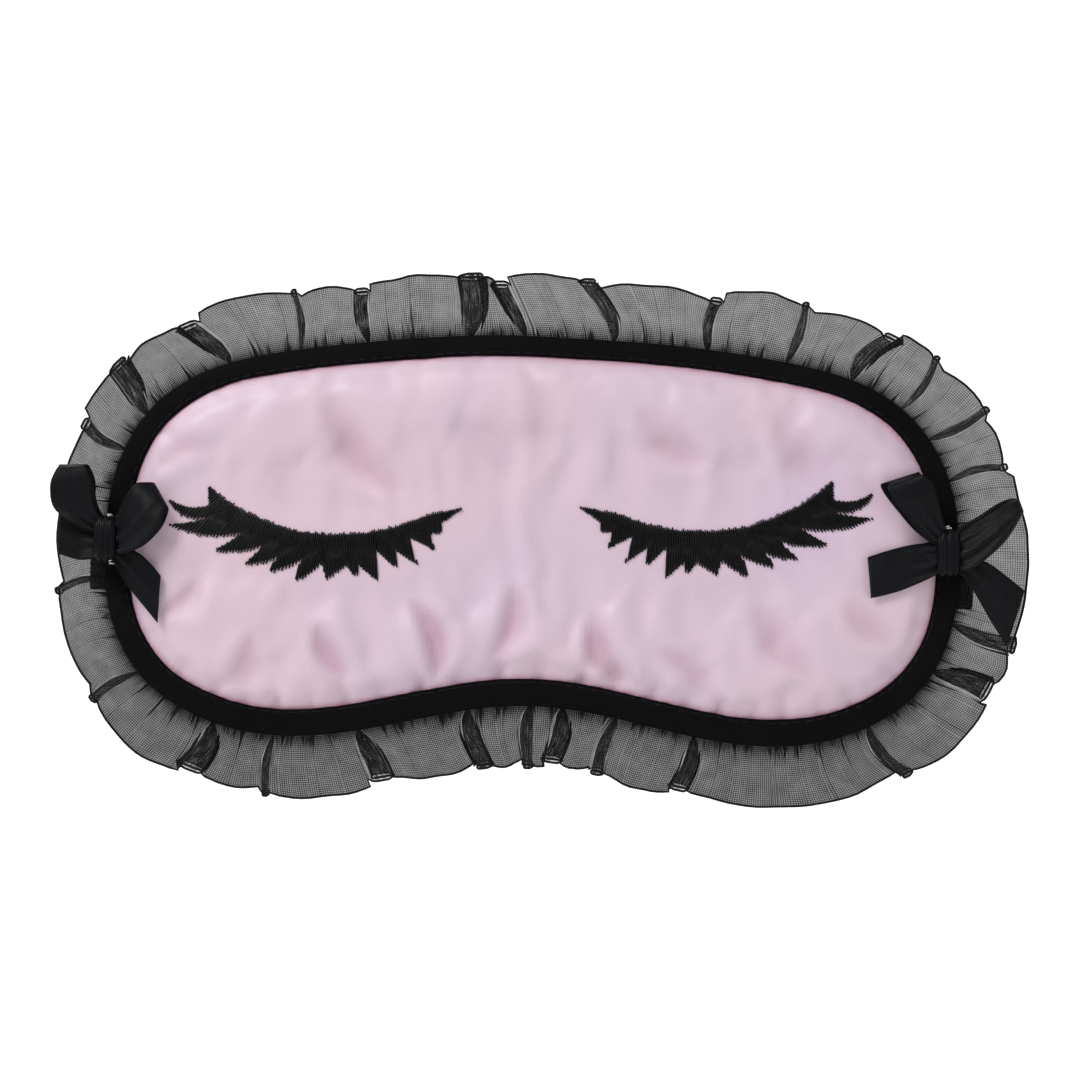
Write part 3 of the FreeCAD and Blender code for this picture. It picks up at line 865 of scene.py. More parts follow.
# %% Longer creases
# Two ends in mm from the middle, depth in mm, width in mm. All depths are multiplied by the gain.
CREASES = (
    ((-28, -14), (-22, -34), 1.75, 2.2), ((-49, 32), (-31, 9), 1.16, 4.1),
    ((-2.5, 40), (-1, 14), 0.65, 2.7), ((14, -16), (22, -34), 1.59, 2.6),
    ((30, -24), (42, -38), 1.00, 2.5), ((-50, -20), (-42, -33), 1.41, 2.2),
    ((-4, -10), (-9, -27), 1.16, 2.6), ((56, 30), (70, 12), 0.80, 4.1),
    ((-76, -10), (-86, -18), 0.92, 2.3), ((24, 30), (40, 17), 0.80, 4.0),
    ((-20, 26), (-4, 10), 0.40, 4.1), ((72, -12), (84, -22), 0.92, 2.9),
    ((-88, 14), (-74, 20), 0.65, 3.1), ((52, -14), (66, -30), 1.00, 3.3),
    ((-64, -22), (-72, -36), 0.92, 2.5), ((84, 6), (72, 16), 0.58, 3.2),
)
CREASE_GAIN = 1.35
CREASE_BOW = 0.11
STEEP_SIDE = 0.8
GENTLE_SIDE = 1.5


def crease_depth(flat):
    """How far the satin dips in its creases. They bow to one side and thin out at both ends."""
    valley = np.zeros(len(flat))
    for number, (start, end, deep, wide) in enumerate(CREASES):
        a, b = np.array(start) * MM, np.array(end) * MM
        length = np.linalg.norm(b - a)
        normal = np.array([-(b - a)[1], (b - a)[0]]) / length
        part = (flat - a) @ (b - a) / length ** 2
        inside = np.sin(math.pi * np.clip(part, 0, 1))
        side = (flat - a) @ normal - CREASE_BOW * length * inside * (1, -1)[number % 2]
        width = wide * MM * (0.45 + 0.55 * inside) * np.where(side > 0, GENTLE_SIDE, STEEP_SIDE)
        gap = np.hypot(side, np.clip(np.abs(part - 0.5) - 0.5, 0, None) * length)
        valley += CREASE_GAIN * deep * MM * inside ** 0.7 * valley_shape(gap, width, 2.0, 0.5)
    return valley


print(f"{len(CREASES)} creases")

# %% Dome of the pad
DOME_STEEP = 2.4
DOME_ROUND = 0.8


def dome(depth, share):
    """Height of the pad above its seam, from 0 at the binding to 1 in the middle."""
    leg = front_leg(share) - 0.4 * MM
    part = np.clip((depth - leg) / (RISE_RUN - leg), 0, 1)
    return (1 - (1 - part) ** DOME_STEEP) ** DOME_ROUND


print(f"the dome rises over {(RISE_RUN - LEG_TOP) * 1000:.0f} mm at the top of the mask")


# %% Let the cloth buckle
CLOTH_SCALE = 10
CLOTH_FRAMES = 26
LOOSE = 0.05


def buckled(name, points, faces, held, pressure):
    """Where cloth ends up when it is held at some points and is slightly too large."""
    mesh = bpy.data.meshes.new(name)
    mesh.from_pydata((points * CLOTH_SCALE).tolist(), [], faces.tolist())
    cloth_piece = new_object(name, mesh, None)
    group = cloth_piece.vertex_groups.new(name="held")
    for number, weight in enumerate(held):
        if weight > 0.001:
            group.add([number], float(weight), "REPLACE")
    cloth = cloth_piece.modifiers.new("cloth", "CLOTH")
    settings = cloth.settings
    settings.quality = 5
    settings.mass = 0.12
    settings.tension_stiffness = 18
    settings.compression_stiffness = 18
    settings.shear_stiffness = 6
    settings.bending_stiffness = 0.6
    settings.tension_damping = 12
    settings.compression_damping = 12
    settings.air_damping = 4
    settings.shrink_min = -LOOSE
    settings.vertex_group_mass = "held"
    settings.use_pressure = True
    settings.uniform_pressure_force = pressure
    settings.effector_weights.gravity = 0
    cloth.point_cache.frame_start = 1
    cloth.point_cache.frame_end = CLOTH_FRAMES
    for step in range(1, CLOTH_FRAMES + 1):
        bpy.context.scene.frame_set(step)
    finished(cloth_piece)
    moved = np.array([v.co for v in cloth_piece.data.vertices]) / CLOTH_SCALE - points
    bpy.context.scene.frame_set(1)
    bpy.data.objects.remove(cloth_piece)
    print(f"{name}: cloth moved {np.linalg.norm(moved, axis=1).mean() * 1000:.2f} mm on average")
    return moved


# %% Motif of closed lashes, needed here because its stitching holds the cloth flat
INNER_CORNER = 13.0 * MM
EYE_HEIGHT = 7.6 * MM
EYE_SHIFT = -2.6 * MM
EYE_TILT = math.radians(1.8)
LID_LINE = ((0, 0), (8.5, -1.6), (16.6, -4.4), (23.2, -5.7), (31.5, -6.0), (39.4, -5.1),
            (45.7, -2.9), (51.7, -0.2), (56.6, 3.1), (59.5, 5.7))
LASHES = (((59.4, 0.8), (69.2, 2.9)), ((60.0, -2.2), (69.0, -3.4)), ((52, -5.8), (58.6, -9.6)),
          ((46.8, -8.6), (51.3, -12.8)), ((43.6, -11.5), (46, -14.9)), ((37.9, -12), (39.6, -17)),
          ((33.2, -12.9), (32.2, -16.4)), ((27.6, -13.2), (25.4, -16.1)), ((24.5, -13.4), (20.5, -16.8)),
          ((20.3, -10), (15.9, -14.2)), ((15.9, -10), (11, -13.2)), ((12.7, -7), (7, -9.9)),
          ((8.1, -5.9), (5.6, -6.1)), ((5.4, -3.6), (0, 0)))


def eye_place(side, points):
    """Motif points, outwards and upwards from the inner corner in mm, put on the mask."""
    points = np.asarray(points, float) * MM
    x = side * (INNER_CORNER + points[..., 0])
    z = EYE_HEIGHT + points[..., 1]
    turned_x = x * math.cos(EYE_TILT) - z * math.sin(EYE_TILT) + EYE_SHIFT
    turned_z = x * math.sin(EYE_TILT) + z * math.cos(EYE_TILT)
    return np.stack([turned_x, turned_z], -1)


HOLD_RADIUS = 4 * MM
HOLD_FADE = 7 * MM


def stitched_down(flat):
    """1 on the embroidery, falling to 0 a few millimetres away."""
    hold = np.zeros(len(flat))
    for side in (-1, 1):
        lid = eye_place(side, [(x, z - 5) for x, z in LID_LINE])
        last = len(LID_LINE) - 1
        fine = np.column_stack([np.interp(np.linspace(0, last, 60), range(last + 1), lid[:, k])
                                for k in (0, 1)])
        gap = np.sqrt(((flat[:, None] - fine[None]) ** 2).sum(-1)).min(1)
        hold = np.maximum(hold, 1 - smooth_step((gap - HOLD_RADIUS) / HOLD_FADE))
    return hold


# %% Put the front together
PUFF = 0.25
MOST_MOVE = 1.2 * MM
HELD_BY_STITCHES = 0.25
CALM_AT_STITCHES = 0.6
UNDER_BOW = 7.5 * MM
PRESS_SOFT = 0.35 * MM
# Most painted crease shade that a point of the front can get.
MOST_CREASE_SHADE = 0.40
knot_middle = 0.5 * sum(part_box("right_bow_knot"), Vector())


def even_out(values, rounds):
    """Values averaged with their neighbours on the field, so many times over."""
    pairs = np.vstack([inside_faces[:, (0, 1)], inside_faces[:, (1, 2)],
                       inside_faces[:, (2, 3)], inside_faces[:, (3, 0)]])
    pairs = np.vstack([pairs, pairs[:, ::-1]])
    uses = np.bincount(pairs[:, 0], minlength=len(values))[:, None]
    for _ in range(rounds):
        total = np.zeros_like(values)
        np.add.at(total, pairs[:, 0], values[pairs[:, 1]])
        values = 0.5 * values + 0.5 * total / uses
    return values


def press_under_bows(points):
    """No point stands further out than the ribbon allows near either knot."""
    from_bow = np.hypot(np.abs(inside_flat[:, 0]) - knot_middle.x, inside_flat[:, 1] - knot_middle.z)
    limit = -UNDER_BOW - 5 * MM * smooth_step((from_bow - 20 * MM) / (16 * MM))
    points[:, 1] = limit + PRESS_SOFT * np.logaddexp(0, (points[:, 1] - limit) / PRESS_SOFT)


def front_points():
    """Points of the front, and how much painted crease shade each gets."""
    rise = CROWN_FRONT - SEAM_FRONT
    dome_height = dome(inside_depth, inside_share)
    y = SEAM_FRONT + rise * dome_height
    points = np.column_stack([inside_flat[:, 0], y, inside_flat[:, 1]])
    loose = smooth_step((inside_depth - front_leg(inside_share)) / (3 * MM))
    stitched = stitched_down(inside_flat)
    held = np.clip(1 - loose + HELD_BY_STITCHES * stitched, 0, 1)
    moved = buckled("satin_trial", points, inside_faces, held, PUFF)
    moved[:, 1] -= np.median(moved[loose > 0.99, 1]) * dome_height
    moved = MOST_MOVE * np.tanh(even_out(moved, 4) / MOST_MOVE)
    print(f"buckles stand {moved[:, 1].std() * 1000:.2f} mm about the dome")
    points += moved * (1 - CALM_AT_STITCHES * stitched)[:, None]
    broad = lumps(points, (26, 0.75, 1.0), (11, 0.20, 2.0))
    fine = lumps(points * np.array([1, 1, 0.6]), (4, 0.025, 3.0))
    points[:, 1] += (broad + fine) * MM * loose * (1 - 0.5 * stitched)
    valley = pucker_depth(inside_share, inside_depth)
    valley += crease_depth(inside_flat) * loose * (1 - CALM_AT_STITCHES * stitched)
    print(f"valleys go down to {valley.max() * 1000:.1f} mm")
    points[:, 1] += valley
    press_under_bows(points)
    # Painted shade: deeper valleys get more of the darker pink, up to a limit.
    return points, np.clip(valley / (4.0 * MM), 0, MOST_CREASE_SHADE)


# How far in from the binding the painted seam shade reaches.
SEAM_SHADE_REACH = 0.7 * MM


def panel(name, points, finish, thickness, out_of_front, valley=0.0):
    """A closed satin piece from the field's points, with its wall on the inner side."""
    mesh = bpy.data.meshes.new(name)
    faces = inside_faces if out_of_front else inside_faces[:, ::-1]
    mesh.from_pydata(points.tolist(), [], faces.tolist())
    mesh.polygons.foreach_set("use_smooth", [True] * len(mesh.polygons))
    # Painted shade: high close to the binding and in the valleys, where shade falls.
    seam = np.exp(-np.clip(inside_depth - front_leg(inside_share), 0, None) / SEAM_SHADE_REACH)
    mesh.attributes.new("seam_and_crease_shade", "FLOAT", "POINT").data.foreach_set(
        "value", np.maximum(seam, valley).astype(np.float32))
    return with_thickness(new_object(name, mesh, finish), thickness, -1.0)


# %% Build the satin front
SATIN_THICK = 0.35 * MM
satin_points, satin_crease_shade = front_points()
satin_front = panel("satin_front", satin_points, front_satin, SATIN_THICK, True, satin_crease_shade)
front_normal = satin_front.data.polygons[0].normal.y
print(f"satin front: {len(satin_front.data.polygons)} faces, first face looks {front_normal:.1f} in y")
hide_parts("front_panel")
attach(satin_front, "mask")

# %% [markdown]
# ## Satin back and wadding
#
# The back lies against the face, so it is nearly flat, with a slight crown and shallow puckers
# beside the binding. The wadding is a soft slab under the front. It follows the same dome a
# little lower down, and its surface is lumpy, as teased fibres are.

# %% Build the back and the wadding
back_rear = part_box("back_panel")[1].y
BACK_LEG = 5.0 * MM
BACK_CROWN = 0.7 * MM
BACK_PUCKER = 0.6
PUCKER_SHIFT = 0.013
WADDING_UNDER = 0.75 * MM


def back_points():
    """Points of the back, which dips a little under the tape at its edge."""
    rise = smooth_step((inside_depth - BACK_LEG) / (14 * MM)) * BACK_CROWN
    under = 0.5 * MM * (1 - smooth_step((inside_depth - BACK_LEG + 0.6 * MM) / (1.2 * MM)))
    y = back_rear + rise - under
    points = np.column_stack([inside_flat[:, 0], y, inside_flat[:, 1]])
    loose = smooth_step((inside_depth - BACK_LEG) / (3 * MM))
    points[:, 1] += lumps(points, (20, 0.3, 5.0), (7, 0.1, 6.0)) * MM * loose
    points[:, 1] -= BACK_PUCKER * pucker_depth((inside_share + PUCKER_SHIFT) % 1, inside_depth)
    return points


def wadding_points():
    """Points of the wadding, a little under the satin and lumpy."""
    points = satin_points.copy()
    points[:, 1] += WADDING_UNDER + lumps(points, (3, 0.12, 8.0)) * MM
    return points


satin_back = panel("satin_back", back_points(), back_satin, SATIN_THICK, False)
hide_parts("back_panel")
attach(satin_back, "mask")

WADDING_THICK = 1.2 * MM
wadding_pad = panel("wadding_pad", wadding_points(), wadding, WADDING_THICK, True)
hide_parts("padding")
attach(wadding_pad, "mask")
print("back faces look", round(satin_back.data.polygons[0].normal.y, 1), "in y")

# %% [markdown]
# ## Binding
#
# The binding is a strip of black tape folded over the raw edge. It shows about 5 mm wide along
# the top and a little more along the bottom, and its inner edge wavers where the tape was eased
# round the curves. It is swept here as one strip: a row of points from the back edge, round the
# rim and over to the front edge, repeated all the way round and then given its thickness.

# %% Build the binding
BINDING_THICK = 0.4 * MM
BINDING_COLUMNS = 960
FIRST_FRONT_ROW = 9


def binding_points():
    """The tape's section from the back edge, round the rim and over to the front edge. Each of
    its points is a distance inside the edge and a depth."""
    share = np.arange(BINDING_COLUMNS) / BINDING_COLUMNS
    leg = front_leg(share)
    round_it = on_edge(share)
    waver = lumps(round_it, (13, 0.22, 11.0), (4, 0.08, 12.0)) * MM
    back_waver = lumps(round_it, (13, 0.2, 13.0)) * MM
    front, rim = binding_low.y, 0.5 * (binding_low.y + binding_high.y)
    section = (
        (BACK_LEG + back_waver, -0.02 * MM), (0.8 * BACK_LEG, 0.10 * MM), (0.5 * BACK_LEG, 0.12 * MM),
        (0.25 * BACK_LEG, 0.02 * MM), (0.7 * MM, -0.35 * MM), (0.22 * MM, -1.0 * MM), (0.06 * MM, rim),
        (0.2 * MM, front + 1.0 * MM), (0.75 * MM, front + 0.25 * MM), (1.7 * MM, front - 0.08 * MM),
        (0.45 * leg, front - 0.24 * MM), (0.62 * leg, front - 0.36 * MM), (0.8 * leg, front - 0.42 * MM),
        (leg - 0.35 * MM + waver, front - 0.34 * MM), (leg + waver, front - 0.02 * MM),
        (leg + 0.05 * MM + waver, front + 0.45 * MM))
    rows = []
    for number, (inset, y) in enumerate(section):
        line = on_edge(share, -np.asarray(inset) * np.ones(BINDING_COLUMNS), y)
        if number >= FIRST_FRONT_ROW:
            line[:, 1] += lumps(line, (5, 0.10, 14.0), (1.6, 0.05, 15.0)) * MM
        rows.append(line)
    return np.stack(rows, 1)


def cloth_map(points, free_columns=None):
    """Metres along and across a grid. Lengths along it are averaged over the free columns, or
    measured down its middle."""
    middle = points.shape[1] // 2
    measured = points[:, free_columns or slice(middle, middle + 1)]
    along = np.r_[0, np.cumsum(np.linalg.norm(np.diff(measured, axis=0), axis=2).mean(1))]
    across = np.r_[0, np.cumsum(np.linalg.norm(np.diff(points, axis=1), axis=2).mean(0))]
    return np.stack(np.broadcast_arrays(along[:, None], across[None]), -1)


tape_points = binding_points()
tape_mesh = grid_mesh("edge_tape", tape_points, cloth_map(tape_points), loops_round=True)
edge_tape = with_thickness(new_object("edge_tape", tape_mesh, binding_cloth), BINDING_THICK, -1.0)
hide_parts("edge_binding")
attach(edge_tape, "mask")
print(f"binding: {len(edge_tape.data.polygons)} faces")

# %% [markdown]
# ## Topstitching
#
# Two rows of black stitches hold the tape: one near its inner edge on the front, and one that
# gathers the frill behind it. Both are rows of short thread pieces that follow the seam, so the
# seam tree makes them from one mesh line each.

# %% Helpers for rows of stitches
SEAM_THREAD = 0.16 * MM


def seam_row(name, line, length, gap, wander):
    mesh = lines_mesh(name, [line], closed=True)
    row = grown(name, mesh, stitches_on_seam, Stitch_Length=length, Gap=gap,
                Thread_Radius=SEAM_THREAD, Wander=wander, Seed=11, Material=sewing_thread)
    print(f"{name}: {len(row.data.polygons)} faces")
    return row


def surface_y(tree, flat, fallback):
    """Depth of a surface at flat points, found by looking at it from the front."""
    found = []
    for x, z in flat:
        hit = tree.ray_cast(Vector((x, -0.05, z)), Vector((0, 1, 0)))
        found.append(hit[0].y if hit[0] is not None else fallback)
    return np.array(found)


def tree_of(piece):
    """The piece's faces, sorted so that a look at them is quick."""
    mesh = bmesh.new()
    mesh.from_mesh(piece.data)
    tree = BVHTree.FromBMesh(mesh)
    mesh.free()
    return tree


# %% Both rows of stitches
tape_tree = tree_of(edge_tape)
seam_share = np.arange(900) / 900
seam_line = on_edge(seam_share, -(front_leg(seam_share) - 0.75 * MM))
seam_line[:, 1] = surface_y(tape_tree, seam_line[:, (0, 2)], binding_low.y) - 0.02 * MM
topstitch = seam_row("topstitch", seam_line, length=2.3 * MM, gap=0.7 * MM, wander=0.04)
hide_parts("binding_topstitch")
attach(topstitch, "mask")

gather_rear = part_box("ruffle_gather_stitch")[1].y
gather_line = on_edge(seam_share, -2.0 * MM, gather_rear - 0.12 * MM)
gather_row = seam_row("gather_stitch", gather_line, length=2.8 * MM, gap=0.9 * MM, wander=0.06)
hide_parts("ruffle_gather_stitch")
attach(gather_row, "mask")

# %% [markdown]
# ## Embroidered lashes
#
# Each closed eye is filled with satin stitch: strands of shiny thread laid side by side, square
# to the lid, each from one edge of the shape to the other. Because every strand ends on its own,
# the edges are finely toothed. Strands are found by walking along the lid and keeping the
# stretches of each crossing line that lie inside the outline. Shorter, lower strands between
# them fill the gaps, as underlay stitches do.

# %% The outline of a closed eye
STRAND_PITCH = 0.50 * MM
STRAND_RADIUS = 0.25 * MM
STRAND_RISE = 0.34 * MM
satin_tree = tree_of(satin_front)


def lid_curve(count):
    """Even points along the lid, carried on a little past its outer end."""
    points = np.array(LID_LINE, float)
    points = np.vstack([points[0] - (1.5, -0.6), points, points[-1] + (5, 5.5), points[-1] + (9, 12)])
    run = np.r_[0, np.cumsum(np.linalg.norm(np.diff(points, axis=0), axis=1))]
    at = np.linspace(0, run[-1], count)
    line = np.column_stack([np.interp(at, run, points[:, k]) for k in (0, 1)])
    for _ in range(30):
        line[1:-1] = 0.25 * line[:-2] + 0.5 * line[1:-1] + 0.25 * line[2:]
    return line, run[-1]


def outline():
    """The lid and the lashes below it. The outer lashes hook upwards, the inner ones hardly."""
    corners = [np.array(LID_LINE[-1], float)]
    for valley, tip in LASHES:
        corners += [np.array(valley, float), np.array(tip, float)]
    points = [np.array(p, float) for p in LID_LINE]
    for number, (start, end) in enumerate(zip(corners, corners[1:])):
        reach = end - start
        upper = np.interp(number, (1, 3, 5, 13), (0.12, 0.03, 0.03, 0.0))
        lower = np.interp(number, (2, 4, 6, 14), (0.19, 0.09, 0.07, 0.02))
        hook = (lower, upper)[number % 2] if number else 0.0
        sag = np.array([reach[1], -reach[0]]) * np.sign(reach[0] or 1) * hook
        for part in (0.25, 0.5, 0.75, 1.0):
            points.append(start + reach * part + sag * 4 * part * (1 - part))
    return np.array(points[:-1])


# %% Strands inside the outline
STRAND_LEAN = 0.12
LINE_START = 14
SHORTEST_RUN = 0.3
LONGEST_STITCH = 5.5
RAGGED_LOW, RAGGED_HIGH = -0.10, 0.42
UNDERLAY_RISE = 0.12 * MM
UNDERLAY_INSET = 0.35


def inside_runs(start, direction, shape):
    """Where a line crosses a closed outline, as pairs of distances along it."""
    a, b = shape, np.roll(shape, -1, axis=0)
    edge = b - a
    cross = direction[0] * edge[:, 1] - direction[1] * edge[:, 0]
    with np.errstate(divide="ignore", invalid="ignore"):
        along = ((a[:, 0] - start[0]) * edge[:, 1] - (a[:, 1] - start[1]) * edge[:, 0]) / cross
        part = ((a[:, 0] - start[0]) * direction[1] - (a[:, 1] - start[1]) * direction[0]) / cross
    hits = np.sort(along[(np.abs(cross) > 1e-9) & (part >= 0) & (part < 1)])
    return [(hits[k], hits[k + 1]) for k in range(0, len(hits) - 1, 2)]


def on_satin(side, flat, rise):
    """Motif points laid on the satin, standing this far off it."""
    place = eye_place(side, flat)
    y = surface_y(satin_tree, place, CROWN_FRONT) - rise
    return np.column_stack([place[:, 0], y, place[:, 1]])


def stitch_cuts(near, far, draw):
    """A long run is sewn in several stitches, which meet at slightly uneven places."""
    pieces = max(1, round((far - near) / LONGEST_STITCH))
    cuts = [near + (far - near) * k / pieces for k in range(pieces + 1)]
    return [cut + (draw.uniform(-0.5, 0.5) if 0 < k < pieces else 0) for k, cut in enumerate(cuts)]


def eye_strands(side, draw):
    """Strands and underlay of one eye, with a width factor for each of their points."""
    lid_length = sum(np.linalg.norm(np.diff(np.array(LID_LINE), axis=0), axis=1)) * MM
    count = int(lid_length / STRAND_PITCH * 1.25)
    line, length = lid_curve(count)
    along = np.gradient(line, axis=0)
    along /= np.linalg.norm(along, axis=1)[:, None]
    pitch = length / count
    shape = outline()
    strands, thin = [], []
    for number in range(count):
        down = np.array([along[number][1], -along[number][0]])
        down = down + along[number] * STRAND_LEAN
        start = line[number] - down * LINE_START
        for near, far in inside_runs(start, down, shape):
            if far - near < SHORTEST_RUN:
                continue
            cuts = stitch_cuts(near, far, draw)
            for first, last in zip(cuts, cuts[1:]):
                ragged = min(1.0, (far - near) / 3.0)
                first -= draw.uniform(RAGGED_LOW, RAGGED_HIGH) * ragged
                last += draw.uniform(RAGGED_LOW, RAGGED_HIGH) * ragged
                bow = draw.uniform(-0.06, 0.06)
                steps = np.linspace(0, 1, 6)
                flat = start + down * (first + (last - first) * steps)[:, None]
                flat += along[number] * (bow * np.sin(math.pi * steps))[:, None]
                rise = STRAND_RISE * np.sqrt(np.clip(np.sin(math.pi * (0.04 + 0.92 * steps)), 0, 1))
                rise *= draw.uniform(0.85, 1.15)
                strands.append(on_satin(side, flat, rise))
                thin.append([0.7, 1, 1, 1, 1, 0.7])
            for offset in (0.25, 0.75):
                if far - near > 1.0:
                    steps = np.linspace(near + UNDERLAY_INSET, far - UNDERLAY_INSET, 5)
                    flat = start + down * steps[:, None] + along[number] * offset * pitch
                    strands.append(on_satin(side, flat, UNDERLAY_RISE))
                    thin.append([1.0] * 5)
    return strands, thin


# %% Embroider both eyes
for side, node in ((-1, "left_eye"), (1, "right_eye")):
    strands, thin = eye_strands(side, random.Random(21 + side))
    stitched = grown(f"{node}_strands", lines_mesh(node, strands, thin=thin), threads_on_lines,
                     Thread_Radius=STRAND_RADIUS, Sides=5, Material=embroidery_thread)
    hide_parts(f"{node}_embroidery")
    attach(stitched, "mask")
    print(f"{node}: {len(strands)} strands, {len(stitched.data.polygons)} faces")

# %% [markdown]
# ## Organza frill
#
# The frill is one long strip of organza, gathered to the edge and pressed into uneven folds. In
# a fold the cloth doubles back on itself, so three layers lie over each other and the fold looks
# much darker than the single cloth beside it. The strip is modelled as it really runs: columns
# of points go forward, turn back and go forward again at every fold, while the rows run from the
# hidden heading to the hem. Large folds lean and swell like leaves, and small gathers crowd
# the seam and die out a few millimetres away from it.

# %% Folds of the frill
FRILL_REACH = 13.2 * MM
FRILL_ROWS = (-3.8, -2.5, -1.2, -0.2, 0.5, 1.2, 2.0, 3.0, 4.2, 5.5, 6.9, 8.3, 9.7, 11.0, 12.2, 13.2)

# Large folds: share of the way round; width in mm at the seam, the middle and the hem; how far
# the hem end leans along the edge in mm; and which way the cloth doubles back
FOLDS = (
    (0.0355, 1.0, 3.2, 3.4, -7.0, 1), (0.0785, 1.8, 2.2, 2.4, 0.5, -1), (0.1155, 0.8, 2.4, 1.2, 1.5, 1),
    (0.1465, 1.0, 3.4, 3.0, 4.0, -1), (0.1725, 0.8, 1.6, 0.9, -1.0, 1), (0.1915, 0.8, 2.0, 1.0, 1.0, 1),
    (0.2125, 0.8, 1.6, 1.0, 0.5, -1), (0.2785, 1.0, 2.6, 2.8, 1.0, 1), (0.3015, 1.4, 3.4, 3.7, -2.0, -1),
    (0.3415, 0.9, 2.4, 1.8, -3.0, 1), (0.4225, 1.0, 3.2, 3.5, 1.0, -1), (0.4595, 0.9, 2.8, 3.0, 1.5, 1),
    (0.4845, 1.6, 4.2, 4.5, 1.0, -1), (0.4995, 1.6, 3.4, 2.6, 0.0, 1), (0.5285, 1.8, 3.8, 4.1, -2.5, 1),
    (0.5795, 1.2, 4.2, 4.5, -3.5, -1), (0.6185, 0.8, 1.8, 1.2, 0.5, 1), (0.6465, 1.2, 4.0, 4.3, 1.0, -1),
    (0.6885, 0.8, 1.8, 1.4, 1.0, 1), (0.7335, 0.8, 1.6, 1.2, -1.5, 1), (0.7945, 0.8, 2.2, 2.0, 1.0, -1),
    (0.8135, 0.9, 3.6, 3.4, 3.0, 1), (0.8585, 0.9, 3.8, 3.6, -6.0, -1), (0.8915, 0.7, 1.8, 1.0, 0.0, 1),
    (0.9225, 1.0, 2.8, 2.8, -0.5, -1), (0.9695, 2.4, 4.6, 5.0, 0.5, 1), (0.9945, 1.0, 3.2, 3.5, -6.0, -1),
)
SMALL_GATHERS = 190
CLEAR_OF_FOLD = 2.2 * MM
SWAY = 0.8
frill_rows = np.clip(np.array(FRILL_ROWS) * MM / FRILL_REACH, 0, 1)
fold_shares, _, _, _, fold_leans, fold_ways = np.array(FOLDS).T
print(f"{len(FOLDS)} large folds and up to {SMALL_GATHERS} small gathers")


def round_the_loop(values, turn=0):
    """Values at the folds, with the last one repeated in front and the first one behind."""
    return np.array([values[-1] - turn, *values, values[0] + turn])


def lean(share):
    """How far the cloth is pushed along the edge, by row, in metres."""
    wrapped = round_the_loop(fold_shares, 1)
    straight = np.interp(share, wrapped, round_the_loop(fold_leans))[..., None] * frill_rows ** 1.4
    sway = np.interp(share, wrapped, SWAY * round_the_loop(fold_ways))[..., None]
    return (straight + sway * np.sin(math.pi * frill_rows)) * MM


def frill_events(draw):
    """Every fold in order: its share, its width by row, its direction and whether it is large."""
    events = []
    for share, seam, middle, hem, _, way in FOLDS:
        width = np.interp(frill_rows, (0, 0.12, 0.42, 1.0),
                          (0.6 * seam, 0.5 * (seam + middle), middle, hem))
        events.append((share, width * MM, way, True))
    for number in range(SMALL_GATHERS):
        share = (number + draw.uniform(-0.42, 0.42)) / SMALL_GATHERS % 1
        gap = min(abs(along_edge(share, other)) for other in fold_shares)
        if gap < CLEAR_OF_FOLD:
            continue
        seam = draw.uniform(0.25, 0.75)
        end = draw.choice((0.16, 0.22, 0.28, 0.36)) if draw.random() < 0.9 else draw.uniform(0.45, 0.7)
        width = np.interp(frill_rows, (0, 0.5 * end, end), (seam, 0.55 * seam, 0.0))
        events.append((share, width * MM, draw.choice((-1, 1)), False))
    return sorted(events, key=lambda event: event[0])


# %% Columns of a fold
# Each column: its place across the fold, from -1 to 1; its layer, -1 in front and 1 behind; how
# well the threads there cover; and how crinkled the cloth is
BIG_FOLD = ((-1.3, 0, 1, .15), (-0.9, -.6, 1, .5), (-0.3, -1, 1, .8), (0.3, -1, 1, .9), (0.8, -1, 1, 1),
            (1.0, -.6, 1, 1), (1.0, -.1, .6, 1), (0.7, 0, .55, .9), (0.2, 0, .55, .8), (-0.3, 0, .55, .8),
            (-0.75, 0, .55, .9), (-1.0, .1, .6, 1), (-1.0, .6, .6, 1), (-0.7, 1, .55, .9),
            (-0.1, 1, .55, .8), (0.5, 1, .6, .8), (0.9, .8, .8, .5), (1.4, 0, 1, .15))
SMALL_FOLD = ((-1.2, 0, 1, .6), (0.3, -1, 1, 1), (1.0, -.5, .9, 1), (0, 0, .8, 1), (-1.0, .5, .8, 1),
              (-0.2, 1, .8, 1), (1.3, 0, 1, .6))


# %% Columns all the way round
FOLD_STEP = 0.8
COLUMN_PITCH = 1.3 * MM
SPREAD = 0.7


def frill_columns(draw):
    """Columns in order round the edge. Each is a share, a push by row, a layer, a cover, a
    crinkle, whether its fold is large, the fold's width by row and how far the hem steps out."""
    events = frill_events(draw)
    columns = []
    for number, (share, width, way, big) in enumerate(events):
        for a, layer, cover, crinkle in (BIG_FOLD if big else SMALL_FOLD):
            step_out = -FOLD_STEP * way * layer if big else 0.0
            columns.append((share, a * width / 2, way * layer, cover, crinkle, big, width, step_out))
        next_share, next_width = events[(number + 1) % len(events)][:2]
        gap = (next_share - share) % 1.0
        plain = max(1, int(gap * edge_length / COLUMN_PITCH))
        for step in range(1, plain):
            part = step / plain
            push = (1 - part) * SPREAD * width - part * SPREAD * next_width
            push = push * (1 - min(1, 4 * part * (1 - part)) * 0.8)
            columns.append(((share + gap * part) % 1.0, push, 0, 1, 0.0, False, 0 * width, 0.0))
    return [np.array(values) for values in zip(*columns)]


